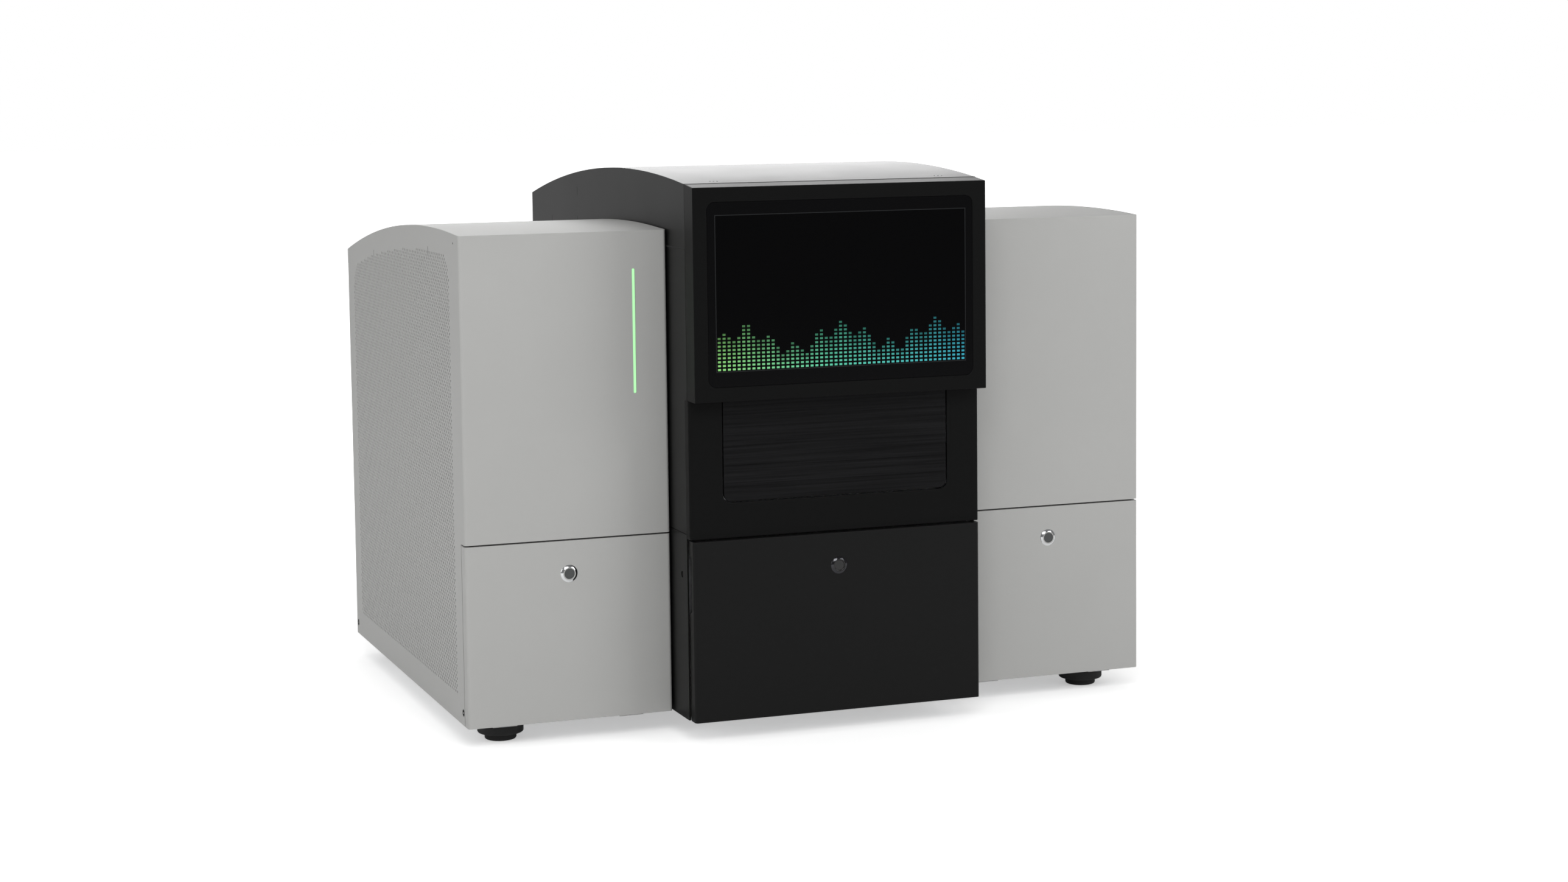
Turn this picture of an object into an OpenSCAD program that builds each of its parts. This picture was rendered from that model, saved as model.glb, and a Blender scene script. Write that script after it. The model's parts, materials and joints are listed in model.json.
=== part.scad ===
// Benchtop sequencer: two side modules around a taller tower with the display,
// the nest bay behind a sliding shutter, two reagent bays and a waste bay.
// Millimetres, +Z up, origin on the bench under the centre of the instrument.

/* [Overall] */
// Width over both side modules
overall_w = 919; // [880:1:980]
// Depth from the display front to the rear of the modules
overall_d = 760; // [740:1:800]
// Height of the floor pan above the bench
foot_h = 28.3; // [26:0.1:34]
// Sheet thickness of the outer panels
skin_t = 2; // [1.5:0.1:2.5]
// Thickness of the floor pan
pan_t = 3; // [2:0.5:4]

/* [Side modules] */
// Setback of the module fronts behind the display front
module_setback = 100; // [95:1:110]
// Air gap between the tower and a module
module_gap = 2; // [1:0.5:4]
// Height of the crown of a module roof
module_crown_z = 639.6; // [630:0.1:645]
// Distance of the crown behind the module front
module_crown_back = 145; // [120:1:180]
// Radius of a module roof
module_roof_r = 2400; // [2200:10:2800]
// Height of the lip that the roof turns down at the rear
roof_lip_h = 20; // [12:1:30]
// Depth of the front panels and of the reagent doors
front_d = 16; // [15:0.5:20]
// Wall of the front panels and doors
front_wall = 2.5; // [2:0.1:3]
// Radius of the upright edges of the fronts
edge_r = 4; // [3:0.5:6]
// Height of the reagent doors
door_h = 226; // [220:1:232]
// Seam between a door and the panel above it
panel_gap = 2; // [1:0.5:3]
// Gap between a closed door and the frame behind it
door_gap = 2; // [1.8:0.1:3]

/* [Perforated sides] */
// Diameter of a hole in the side panels
perf_d = 11.4; // [8:0.1:12]
// Distance between neighbouring holes, which stand in a diagonal grid
perf_pitch = 20; // [19:0.5:30]
// Plain margin in front of the perforated field
perf_front_margin = 24; // [18:1:40]
// Plain margin behind the perforated field
perf_rear_margin = 37; // [25:1:50]
// Plain margin below the perforated field
perf_base_margin = 36; // [30:1:50]
// Plain margin between the perforated field and the roof line
perf_top_margin = 31; // [25:1:45]

/* [Tower] */
// Width of the tower
tower_w = 387.4; // [380:0.2:396]
// Height of the crown of the tower roof
tower_crown_z = 706.6; // [700:0.1:715]
// Distance of the crown behind the display front
tower_crown_back = 270; // [240:1:300]
// Radius of the tower roof
tower_roof_r = 2240; // [2100:10:2600]
// Setback of the tower rear from the rear of the modules
tower_rear_inset = 30; // [20:1:40]
// Height of the lower edge of the tower roof's skirts
skirt_z = 615; // [600:1:620]
// Setback of the fascia behind the display front
fascia_setback = 26; // [26:0.5:28]
// Depth of the fascia
fascia_d = 14; // [13:0.5:16]
// Setback of the waste door behind the display front
waste_door_setback = 20; // [18:0.5:21]
// Gap between the closed waste door and the tower's cheeks behind it
waste_door_gap = 2.6; // [2.6:0.1:3]
// Side clearance of the waste door inside the tower width
waste_door_side = 1.9; // [1.5:0.1:3]
// Setback of the bulkhead behind the fascia's front
bulkhead_setback = 18; // [18:0.5:22]
// Thickness of the bulkhead and of the deck
bulkhead_t = 3; // [2:0.5:4]

/* [Display] */
// Height of the underside of the display housing
head_z = 428.3; // [426:0.1:434]
// Depth of the display housing
head_d = 32; // [31:0.5:34]
// Wall of the display housing
head_wall = 4; // [3:0.5:5]
// Border between the housing's edge and the glass
glass_border = 18; // [16:0.5:22]
// Corner radius of the glass
glass_r = 10; // [6:0.5:14]
// Thickness of the glass
glass_t = 3; // [2:0.5:4]
// Depth of the glass face behind the housing's face
glass_sink = 0.8; // [0.4:0.1:1.5]
// Width of the display module
screen_w = 344; // [330:1:346]
// Height of the display module
screen_h = 204; // [190:1:212]
// Depth of the display module
screen_d = 16; // [10:0.5:16.5]

/* [Nest shutter] */
// Width of the window in the fascia
window_w = 301; // [294:1:304]
// Height of the window's sill above the fascia's lower edge
window_sill = 43.7; // [40:0.1:50]
// Corner radius of the window
window_r = 10; // [6:0.5:14]
// Seam around the shutter
shutter_gap = 1.5; // [1:0.1:2]
// Thickness of the shutter panel
shutter_t = 4; // [3:0.5:4.5]
// Travel of the shutter
shutter_travel = 126; // [110:1:128]
// Diameter of the guide rods
rod_d = 8; // [6:0.5:8.5]
// Radial clearance of the bearings on the rods
rod_clear = 0.05; // [0.03:0.01:0.08]
// Tooth module of the rack and pinion
gear_m = 1.5; // [1.4:0.1:1.6]
// Teeth on the pinion
pinion_teeth = 14; // [12:1:14]
// Width of the rack and pinion
gear_w = 8; // [6:0.5:9]
// Play between the teeth
backlash = 0.45; // [0.4:0.05:0.6]

/* [Nest bay] */
// Inner half width of the nest bay
bay_half_w = 150; // [149:0.5:154]
// Depth of the nest bay behind the bulkhead
bay_d = 193; // [185:1:200]
// Height of the nest bay
bay_h = 154; // [150:1:156]
// Distance of a nest's centre from the tower's centre
nest_x = 72; // [70:0.5:76]
// Width of a nest
nest_w = 110; // [100:1:116]
// Length of a nest
nest_l = 100; // [92:1:102]
// Height of a nest
nest_h = 28; // [24:1:30]
// Thickness of a nest lid
lid_t = 11; // [9:0.5:12]
// Width of the imaging window in a nest lid
lid_window_w = 34; // [28:1:40]
// Travel of the stage
stage_travel = 125; // [110:1:130]
// Travel of the optics to each side
optics_travel = 72; // [60:1:74]

/* [Reagent bays] */
// Inner width of a reagent bay
reagent_w = 230; // [226:1:232]
// Depth of a reagent bay
reagent_d = 380; // [370:10:420]
// Height of a reagent bay
reagent_h = 206; // [202:1:208]
// Width of a reagent cartridge
cartridge_w = 116; // [110:1:118]
// Length of a reagent cartridge
cartridge_l = 216; // [206:1:220]
// Height of a reagent cartridge
cartridge_h = 78; // [70:1:80]
// Width of a well
well_w = 46; // [36:1:48]
// Length of a well
well_l = 58; // [46:1:62]
// Diameter of a sipper needle
needle_d = 3; // [2:0.5:4]
// Travel of the sippers
sipper_travel = 58; // [50:1:60]
// Width of a buffer bottle
bottle_w = 84; // [76:1:86]
// Length of a buffer bottle
bottle_l = 150; // [130:1:170]
// Height of a buffer bottle's shoulder
bottle_h = 140; // [120:1:145]
// Diameter of a bottle cap
cap_d = 44; // [38:1:50]

/* [Waste bay] */
// Inner width of the waste bay
waste_w = 300; // [280:1:310]
// Inner height of the waste bay
waste_h = 200; // [196:1:204]
// Depth of the waste bay
waste_d = 300; // [280:1:320]
// Width of the waste bottle
waste_bottle_w = 200; // [180:1:220]
// Length of the waste bottle
waste_bottle_l = 190; // [170:1:210]
// Height of the waste bottle's shoulder
waste_bottle_h = 130; // [120:1:134]

/* [Doors and buttons] */
// Radius of a hinge barrel
barrel_r = 3.5; // [3.5:0.1:3.8]
// Diameter of a hinge pin
pin_d = 4; // [3:0.5:4.5]
// Radial clearance of a door knuckle on its pin
pin_clear = 0.05; // [0.03:0.01:0.08]
// Distance of a hinge from the end of its door
hinge_inset = 50; // [40:1:60]
// Height of the button centres above the floor pan's underside
button_z = 184.7; // [175:0.1:190]
// Outer diameter of a button bezel
bezel_d = 22; // [20:0.5:24]
// Diameter of a button's moving disc
button_d = 13; // [11:0.5:14]
// Travel of a button
button_travel = 2.5; // [1.5:0.1:3]
// Radial clearance of a button in its bezel
button_clear = 0.1; // [0.08:0.01:0.2]
// Length of the finger scoop in the waste door's edge
scoop_l = 72; // [60:1:80]
// Depth of the finger scoop
scoop_d = 9; // [7:0.5:10]

/* [Light bar] */
// Distance of the light bar from the tower's centre
light_x = 238.7; // [230:0.1:250]
// Length of the light bar
light_l = 155; // [130:1:170]
// Width of the light bar
light_w = 4.2; // [3:0.1:6]
// Height of the light bar's centre
light_z = 511; // [500:1:520]

/* [Feet] */
// Distance of the feet's centres from the tower's centre
foot_x = 404; // [390:1:410]
// Distance of the feet's centres from a module's ends
foot_inset = 60; // [50:1:80]
// Diameter of a foot's collar
collar_d = 58; // [50:1:64]
// Diameter of a foot's pad
pad_d = 40; // [34:1:46]
// Height of a foot's pad
pad_h = 8.5; // [6:0.5:12]

/* [Rear] */
// Diameter of a fan's bore
fan_d = 112; // [100:1:114]
// Side of a fan's frame
fan_side = 120; // [118:1:122]
// Depth of a fan
fan_depth = 25; // [20:1:30]
// Height of the fans' centres
fan_z = 440; // [420:1:460]

/* [Hidden] */
$fn = 48;

paint_grey = [0.66, 0.66, 0.65];
tower_black = [0.13, 0.13, 0.13];
steel = [0.72, 0.73, 0.75];
chrome = [0.85, 0.86, 0.88];
plastic_white = [0.9, 0.9, 0.88];
rubber_black = [0.05, 0.05, 0.05];

// Planes across the width: outer side, tower side, inner side and middle of a module
xo = overall_w / 2;
xt = tower_w / 2;
xi = xt + module_gap;
xm = (xi + xo) / 2;
x_skin = xo - skin_t;
xt_skin = xt - skin_t;

// Planes along the depth, from front to rear
yf = -overall_d / 2;
yh = yf + head_d;
yw = yf + waste_door_setback;
yp = yf + fascia_setback;
y_cheek = yp + fascia_d;
y_bulk = yp + bulkhead_setback;
y_bay = y_bulk + bulkhead_t;
ym = yf + module_setback;
y_portal = ym + front_d + door_gap;
yt = overall_d / 2 - tower_rear_inset;
yb = overall_d / 2;
yr = yb - skin_t;

// Levels
zb = foot_h;
z_pan = zb + pan_t;
zd = zb + door_h;
zu = zd + panel_gap;
z_sill = zu + window_sill;
z_shelf = z_pan + reagent_h + 2 * skin_t;
deck_rise = 6;
z_deck = zu + deck_rise + bulkhead_t;
z_floor = z_deck + 29;
z_button = zb + button_z;

// Roofs: the crown's place along the depth and the height of the roof there
module_crown_y = ym + module_crown_back;
tower_crown_y = yf + tower_crown_back;
function roof_z(y, crown_y, crown_z, r) = crown_z - r + sqrt(r * r - pow(y - crown_y, 2));
function module_z(y) = roof_z(y, module_crown_y, module_crown_z, module_roof_r);
function tower_z(y) = roof_z(y, tower_crown_y, tower_crown_z, tower_roof_r);

eps = 1;          // how far a cut runs past a face
running = 0.3;    // gap between parts that slide or swing past each other

// ---------- Shared shapes ----------

module box(x0, x1, y0, y1, z0, z1) {
    translate([x0, y0, z0]) cube([x1 - x0, y1 - y0, z1 - z0]);
}

// Both sides of the instrument
module both_sides() {
    children();
    mirror([1, 0, 0]) children();
}

// side 1 is the right module, side -1 the left one
module on_side(side) {
    if (side < 0) mirror([1, 0, 0]) children();
    else children();
}

// A plate outline with rounded corners, from one corner to the other
module rounded(x0, x1, y0, y1, r) {
    translate([x0 + r, y0]) square([x1 - x0 - 2 * r, y1 - y0]);
    translate([x0, y0 + r]) square([x1 - x0, y1 - y0 - 2 * r]);
    for (x = [x0 + r, x1 - r], y = [y0 + r, y1 - r]) translate([x, y]) circle(r = r);
}

// An upright panel standing across the depth: its outline is drawn in X and Z
module upright(y0, y1) {
    translate([0, y1, 0]) rotate([90, 0, 0]) linear_extrude(y1 - y0) children();
}

// A sheet standing along the depth: its outline is drawn in Y and Z
module lengthwise(x0, x1) {
    translate([x0, 0, 0]) rotate([90, 0, 90]) linear_extrude(x1 - x0) children();
}

// Side view of everything below an arched roof
module roof_view(y0, y1, z0, crown_y, crown_z, r) {
    intersection() {
        translate([crown_y, crown_z - r]) circle(r = r, $fn = 720);
        translate([y0, z0]) square([y1 - y0, crown_z + eps - z0]);
    }
}

module module_view(y0, y1, z0, inset = 0) {
    roof_view(y0, y1, z0, module_crown_y, module_crown_z - inset, module_roof_r - inset);
}

module tower_view(y0, y1, z0, inset = 0) {
    roof_view(y0, y1, z0, tower_crown_y, tower_crown_z - inset, tower_roof_r - inset);
}

// Plan view of a front panel with its two upright edges rounded
module front_plan(x0, x1, y0, y1, r) {
    translate([x0 + r, y0]) square([x1 - x0 - 2 * r, y1 - y0]);
    translate([x0, y0 + r]) square([x1 - x0, y1 - y0 - r]);
    for (x = [x0 + r, x1 - r]) translate([x, y0 + r]) circle(r = r);
}

// A front panel: a face with four returned edges, open behind
module front_shell(x0, x1, y0, y1, z0, z1, r, wall) {
    difference() {
        translate([0, 0, z0]) linear_extrude(z1 - z0) front_plan(x0, x1, y0, y1, r);
        translate([0, 0, z0 + wall]) linear_extrude(z1 - z0 - 2 * wall)
            front_plan(x0 + wall, x1 - wall, y0 + wall, y1 + eps, max(r - wall, 0.5));
    }
}

// ---------- Door hinges ----------
// A hinge lies along X with its axis at the origin; the frame is towards +Y

fixed_knuckle = 12;
door_knuckle = 9;
knuckle_gap = 0.3;
pocket_r = 9;
leaf_t = 2;
hinge_l = fixed_knuckle + 2 * (knuckle_gap + door_knuckle);

module barrel(x0, l, r) {
    translate([x0, 0, 0]) rotate([0, 90, 0]) cylinder(r = r, h = l);
}

module hinge_on_door() {
    for (x = [-fixed_knuckle / 2 - knuckle_gap - door_knuckle, fixed_knuckle / 2 + knuckle_gap])
        barrel(x, door_knuckle, barrel_r);
}

module hinge_pocket() {
    l = fixed_knuckle + 2 * knuckle_gap;
    box(-l / 2, l / 2, -pocket_r, pocket_r, -pocket_r, pocket_r);
}

module hinge_bore() {
    barrel(-hinge_l / 2 - eps, hinge_l + 2 * eps, pin_d / 2 + pin_clear);
}

// The fixed knuckle, its pin and the leaf that runs back to the frame
module hinge_on_frame(reach) {
    barrel(-fixed_knuckle / 2, fixed_knuckle, barrel_r);
    barrel(-hinge_l / 2, hinge_l, pin_d / 2);
    box(-fixed_knuckle / 2, fixed_knuckle / 2, 0, reach, -leaf_t / 2, leaf_t / 2);
}

// Where the hinges of the doors are. An open reagent door lies under the sweep of the waste door
drop_y = ym + front_d;
drop_z = zb - leaf_t / 2;
drop_leaf_l = 12;
waste_back = y_cheek - waste_door_gap;
swing_x = xt - waste_door_side - barrel_r;
swing_y = waste_back - barrel_r;

module at_drop_hinges() {
    for (x = [xi + hinge_inset, xo - hinge_inset]) translate([x, drop_y, drop_z]) children();
}

module at_swing_hinges() {
    for (z = [zb + hinge_inset, zd - hinge_inset])
        translate([swing_x, swing_y, z]) rotate([0, -90, 0]) children();
}

// ---------- Buttons ----------
// A button lies along Y with the door's face at the origin

bezel_proud = 1.6;
bezel_l = 14;
bezel_step = 2.5;
bezel_floor = 1.5;
button_proud = 0.8;
barrel_out_r = bezel_d / 2 - bezel_step;

module along_y() {
    rotate([-90, 0, 0]) children();
}

module button_bezel() {
    bore_r = button_d / 2 + button_clear;
    color(chrome) along_y() rotate_extrude() difference() {
        union() {
            translate([0, -bezel_proud]) square([bezel_d / 2 - 0.6, bezel_proud]);
            translate([0, -bezel_proud + 0.6]) square([bezel_d / 2, bezel_proud - 0.6]);
            square([barrel_out_r, bezel_l]);
        }
        translate([-eps, -bezel_proud - eps])
            square([bore_r + eps, bezel_proud + eps + bezel_l - bezel_floor]);
    }
}

module button_disc() {
    color([0.5, 0.5, 0.5]) along_y() translate([0, 0, -button_proud])
        cylinder(d = button_d, h = button_proud + bezel_l - bezel_floor - button_travel - 1);
}

module button_hole() {
    along_y() translate([0, 0, -eps]) cylinder(r = barrel_out_r, h = front_wall + 2 * eps);
}

module at_button(side) {
    if (side == 0) translate([0, yw, z_button]) children();
    else translate([side * xm, ym, z_button]) children();
}

// ---------- Floor pan and feet ----------

module base_pan() {
    notch_half = hinge_l / 2 + 1;
    notch_back = drop_y + barrel_r + 1;
    color(steel) translate([0, 0, zb]) linear_extrude(pan_t) difference() {
        union() {
            translate([-xt_skin, y_cheek]) square([2 * xt_skin, y_portal - y_cheek + eps]);
            translate([-x_skin, y_portal]) square([2 * x_skin, yt - skin_t - y_portal]);
            both_plan() translate([xi, y_portal]) square([x_skin - xi, yr - skin_t - y_portal]);
        }
        both_plan() for (x = [xi + hinge_inset, xo - hinge_inset])
            translate([x - notch_half, y_portal - eps]) square([2 * notch_half, notch_back - y_portal + eps]);
    }
}

module both_plan() {
    children();
    mirror([1, 0]) children();
}

module foot() {
    chamfer = 1.5;
    color(rubber_black) rotate_extrude() {
        polygon([[0, 0], [pad_d / 2 - chamfer, 0], [pad_d / 2, chamfer], [pad_d / 2, pad_h], [0, pad_h]]);
        polygon([[0, pad_h], [collar_d / 2 - chamfer, pad_h], [collar_d / 2, pad_h + chamfer],
            [collar_d / 2, zb], [0, zb]]);
    }
}

module feet() {
    for (x = [-foot_x, foot_x], y = [ym + foot_inset, yb - foot_inset]) translate([x, y, 0]) foot();
}

// ---------- Side modules ----------

module module_frame(side) {
    upper_margin = 20;
    color(steel) on_side(side) {
        lengthwise(xi, xi + skin_t) module_view(y_portal, yr - skin_t, z_pan, skin_t);
        difference() {
            lengthwise(xi, x_skin) module_view(y_portal, y_portal + skin_t, z_pan, skin_t);
            upright(y_portal - eps, y_portal + skin_t + eps) {
                translate([xm - reagent_w / 2, z_pan + skin_t]) square([reagent_w, reagent_h]);
                rounded(xi + upper_margin, xo - upper_margin, zu + upper_margin,
                    module_z(ym) - 2 * upper_margin, edge_r);
            }
        }
        box(xi + skin_t, x_skin, y_portal + skin_t, yr - skin_t, z_shelf, z_shelf + skin_t);
    }
}

// Staggered round holes inside the margins of the side panel
module perforation() {
    y0 = y_portal + perf_front_margin;
    y1 = yr - perf_rear_margin;
    z0 = zb + perf_base_margin;
    row_h = perf_pitch / sqrt(2);
    row_pitch = perf_pitch * sqrt(2);
    columns = floor((y1 - y0) / row_pitch);
    rows = floor((module_crown_z - z0) / row_h);
    for (row = [0:rows], column = [0:columns]) {
        y = y0 + (column + (row % 2) / 2) * row_pitch;
        z = z0 + row * row_h;
        if (y <= y1 && z <= module_z(y) - perf_top_margin) translate([y, z]) circle(d = perf_d, $fn = 16);
    }
}

screw_d = 5;
screw_head_d = 9;
screw_head_t = 1.2;
screw_head_gap = 1.5;
screw_l = 10;
corner_screw_in = 16;

// Places of the two lower screws of a side panel
function side_screws() = [
    [y_portal + 6, zb + corner_screw_in],
    [yr - corner_screw_in / 2, zb + corner_screw_in]
];

module side_panel(side) {
    color(paint_grey) on_side(side) difference() {
        lengthwise(x_skin, xo) difference() {
            module_view(y_portal, yr, zb);
            perforation();
            for (p = side_screws()) translate(p) circle(d = screw_d);
        }
        lengthwise(xo - screw_head_t, xo + eps) for (p = side_screws()) translate(p)
            circle(d = screw_head_d + screw_head_gap);
    }
}

module module_roof(side) {
    color(paint_grey) on_side(side) {
        difference() {
            lengthwise(xi, x_skin) module_view(y_portal, yb, module_z(yb) - roof_lip_h);
            lengthwise(xi - eps, x_skin + eps)
                module_view(y_portal - eps, yr, module_z(yb) - roof_lip_h - eps, skin_t);
        }
        lengthwise(xi, xo) module_view(yr, yb, module_z(yb) - roof_lip_h);
    }
}

module light_slot() {
    r = light_w / 2;
    straight_l = light_l - light_w;
    translate([-light_x - r, light_z - straight_l / 2]) square([2 * r, straight_l]);
    for (z = [-1, 1]) translate([-light_x, light_z + z * straight_l / 2]) circle(r = r);
}

module upper_front(side) {
    color(paint_grey) difference() {
        on_side(side) difference() {
            intersection() {
                translate([0, 0, zu]) linear_extrude(module_crown_z - zu)
                    front_plan(xi, xo, ym, y_portal, edge_r);
                lengthwise(xi, xo) module_view(ym, y_portal, zu);
            }
            intersection() {
                translate([0, 0, zu + front_wall]) linear_extrude(module_crown_z - zu)
                    front_plan(xi + front_wall, xo - front_wall, ym + front_wall, y_portal + eps,
                        max(edge_r - front_wall, 0.5));
                lengthwise(xi, xo) module_view(ym, y_portal + eps, zu, front_wall);
            }
        }
        if (side < 0) upright(ym - eps, ym + front_wall + eps) light_slot();
    }
}

module light_bar() {
    color([0.55, 1, 0.55]) upright(ym - 0.3, ym + front_wall + 2) light_slot();
}

module reagent_door(side) {
    color(paint_grey) difference() {
        union() {
            on_side(side) front_shell(xi, xo, ym, ym + front_d, zb, zd, edge_r, front_wall);
            on_side(side) at_drop_hinges() hinge_on_door();
        }
        on_side(side) at_drop_hinges() {
            hinge_pocket();
            hinge_bore();
        }
        at_button(side) button_hole();
    }
}

vent_w = 4;
vent_l = 34;
vent_pitch = 12;

module vents(count, rows, x, z) {
    for (i = [0:count - 1], j = [0:rows - 1])
        translate([x + (i - (count - 1) / 2) * vent_pitch, z + j * (vent_l + vent_pitch)])
            rounded(-vent_w / 2, vent_w / 2, -vent_l / 2, vent_l / 2, vent_w / 2 - 0.01);
}

// Concentric rings and a cross that guard a fan's opening
module fan_guard() {
    ring = 2.5;
    step = 11;
    difference() {
        circle(d = fan_d);
        difference() {
            for (r = [fan_d / 2 : -step : step]) difference() {
                circle(r = r);
                circle(r = max(r - step + ring, 1));
            }
            square([2 * ring, fan_d + 2 * eps], center = true);
            square([fan_d + 2 * eps, 2 * ring], center = true);
        }
    }
}

module module_rear_panel(side) {
    color(paint_grey) on_side(side) difference() {
        lengthwise(xi, x_skin) module_view(yr - skin_t, yr, zb, skin_t);
        upright(yr - skin_t - eps, yr + eps) {
            translate([xm, fan_z]) difference() {
                circle(d = fan_d);
                fan_guard();
            }
            vents(14, 2, xm, zb + 80);
        }
    }
}

// ---------- Reagent bays ----------

reagent_y0 = y_portal + skin_t;
bay_in = xm - reagent_w / 2;
basket_wall = 2;
basket_h = 30;
basket_side = 4;
basket_y0 = reagent_y0 + 26;
basket_l = cartridge_l + 10;
basket_w = reagent_w - 2 * basket_side;
z_basket = z_pan + skin_t;
z_load = z_basket + basket_wall;
load_gap = 2;
cartridge_x = bay_in + basket_side + basket_wall + load_gap;
cartridge_y = basket_y0 + basket_wall + load_gap;
bottle_x = cartridge_x + cartridge_w + 3 * load_gap;
column_d = 8;
column_x = 40;
column_y = basket_y0 + basket_l + 14;
// The raised sipper comes down by its travel and still clears the cartridge
sipper_z = z_load + cartridge_h + sipper_travel + 34;
sipper_t = 8;
well_rows = 3;
well_columns = 2;
well_rib = 6;

module reagent_bay_liners() {
    color(plastic_white) both_sides() {
        difference() {
            box(bay_in - skin_t, bay_in + reagent_w + skin_t, reagent_y0, reagent_y0 + reagent_d + skin_t,
                z_pan, z_shelf);
            box(bay_in, bay_in + reagent_w, reagent_y0 - eps, reagent_y0 + reagent_d,
                z_pan + skin_t, z_shelf - skin_t);
        }
        at_columns() translate([0, 0, z_basket]) cylinder(d = column_d, h = reagent_h);
    }
}

// The two columns that a sipper slides on
module at_columns() {
    for (x = [-column_x, column_x]) translate([cartridge_x + cartridge_w / 2 + x, column_y, 0]) children();
}

module reagent_baskets() {
    bar_d = 7;
    grip_w = 90;
    grip_reach = 20;
    grip_z = z_basket + basket_h - bar_d / 2;
    color(steel) both_sides() translate([xm, 0, 0]) {
        difference() {
            box(-basket_w / 2, basket_w / 2, basket_y0, basket_y0 + basket_l, z_basket, z_basket + basket_h);
            box(-basket_w / 2 + basket_wall, basket_w / 2 - basket_wall, basket_y0 + basket_wall,
                basket_y0 + basket_l - basket_wall, z_load, z_basket + basket_h + eps);
        }
        for (s = [-1, 1]) translate([s * grip_w / 2, basket_y0 - grip_reach, grip_z])
            along_y() cylinder(d = bar_d, h = grip_reach + basket_wall / 2);
        translate([-grip_w / 2 - bar_d / 2, basket_y0 - grip_reach, grip_z]) rotate([0, 90, 0])
            cylinder(d = bar_d, h = grip_w + bar_d);
    }
}

module at_wells() {
    for (i = [0:well_columns - 1], j = [0:well_rows - 1])
        translate([cartridge_x + cartridge_w / 2 + (i - (well_columns - 1) / 2) * (well_w + well_rib),
            cartridge_y + cartridge_l / 2 + (j - (well_rows - 1) / 2) * (well_l + well_rib), 0]) children();
}

// A carrier with a pocket, and six separate pots that stand in it
module reagent_cartridge(side) {
    carrier_h = 24;
    carrier_floor = 3;
    pot_gap = 0.6;
    pot_wall = (well_rib - pot_gap) / 2;
    pot_w = well_w + 2 * pot_wall;
    pot_l = well_l + 2 * pot_wall;
    pot_z = z_load + carrier_floor + pot_gap / 2;
    pocket_w = well_columns * (well_w + well_rib);
    pocket_l = well_rows * (well_l + well_rib);
    color([0.8, 0.84, 0.88]) on_side(side) {
        difference() {
            translate([0, 0, z_load]) linear_extrude(carrier_h)
                rounded(cartridge_x, cartridge_x + cartridge_w, cartridge_y, cartridge_y + cartridge_l, 6);
            translate([cartridge_x + (cartridge_w - pocket_w) / 2, cartridge_y + (cartridge_l - pocket_l) / 2,
                z_load + carrier_floor]) cube([pocket_w, pocket_l, carrier_h]);
        }
        at_wells() difference() {
            translate([0, 0, pot_z]) linear_extrude(z_load + cartridge_h - pot_z)
                rounded(-pot_w / 2, pot_w / 2, -pot_l / 2, pot_l / 2, 4);
            translate([-well_w / 2, -well_l / 2, pot_z + pot_wall]) cube([well_w, well_l, cartridge_h]);
        }
    }
}

neck_d = 36;
neck_h = 14;
shoulder_h = 12;
cap_h = 24;
cap_gap = 4;

// A bottle standing on the origin, with a square body and a round neck
module bottle(w, l, h) {
    linear_extrude(h) rounded(-w / 2, w / 2, -l / 2, l / 2, 10);
    translate([0, 0, h]) cylinder(d1 = min(w, l) - 12, d2 = neck_d, h = shoulder_h);
    translate([0, 0, h + shoulder_h]) cylinder(d = neck_d, h = neck_h);
}

module cap() {
    ribs = 24;
    difference() {
        union() {
            cylinder(d = cap_d, h = cap_h);
            for (i = [0:ribs - 1]) rotate([0, 0, i * 360 / ribs]) translate([cap_d / 2, 0, 0])
                cylinder(d = 1.6, h = cap_h - 2, $fn = 16);
        }
        translate([0, 0, -eps]) cylinder(d = neck_d, h = neck_h - cap_gap + eps);
    }
}

module at_buffer_bottle() {
    translate([bottle_x + bottle_w / 2, cartridge_y + bottle_l / 2, z_load]) children();
}

module bottles() {
    color(plastic_white) {
        both_sides() at_buffer_bottle() bottle(bottle_w, bottle_l, bottle_h);
        at_waste_bottle() bottle(waste_bottle_w, waste_bottle_l, waste_bottle_h);
    }
}

module bottle_caps() {
    color([0.15, 0.35, 0.6]) {
        both_sides() at_buffer_bottle() translate([0, 0, bottle_h + shoulder_h + cap_gap]) cap();
        at_waste_bottle() translate([0, 0, waste_bottle_h + shoulder_h + cap_gap]) cap();
    }
}

module sipper(side) {
    boss_d = 18;
    boss_h = 24;
    tip_gap = 4;
    needle_side = 12;
    needle_l = sipper_z - z_load - cartridge_h - tip_gap;
    plate_y1 = column_y + boss_d / 2;
    color(steel) on_side(side) difference() {
        union() {
            box(cartridge_x, cartridge_x + cartridge_w, cartridge_y, plate_y1, sipper_z, sipper_z + sipper_t);
            at_columns() translate([0, 0, sipper_z - sipper_t]) cylinder(d = boss_d, h = boss_h);
            at_wells() for (x = [-needle_side, needle_side]) translate([x, 0, sipper_z - needle_l])
                cylinder(d = needle_d, h = needle_l + eps);
        }
        at_columns() translate([0, 0, sipper_z - boss_h])
            cylinder(r = column_d / 2 + rod_clear, h = 2 * boss_h);
    }
}

// ---------- Waste bay ----------

module waste_bay_liner() {
    color(plastic_white) difference() {
        box(-waste_w / 2 - skin_t, waste_w / 2 + skin_t, y_bay, y_bay + waste_d,
            z_pan, z_pan + waste_h + 2 * skin_t);
        box(-waste_w / 2, waste_w / 2, y_bay - eps, y_bay + waste_d - skin_t, z_pan + skin_t,
            z_pan + waste_h + skin_t);
    }
}

module at_waste_bottle() {
    translate([0, y_bay + 30 + waste_bottle_l / 2, z_pan + skin_t]) children();
}

// The scoop is a notch in the left edge of the door, open behind
scoop_z = zb + 136;

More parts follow.
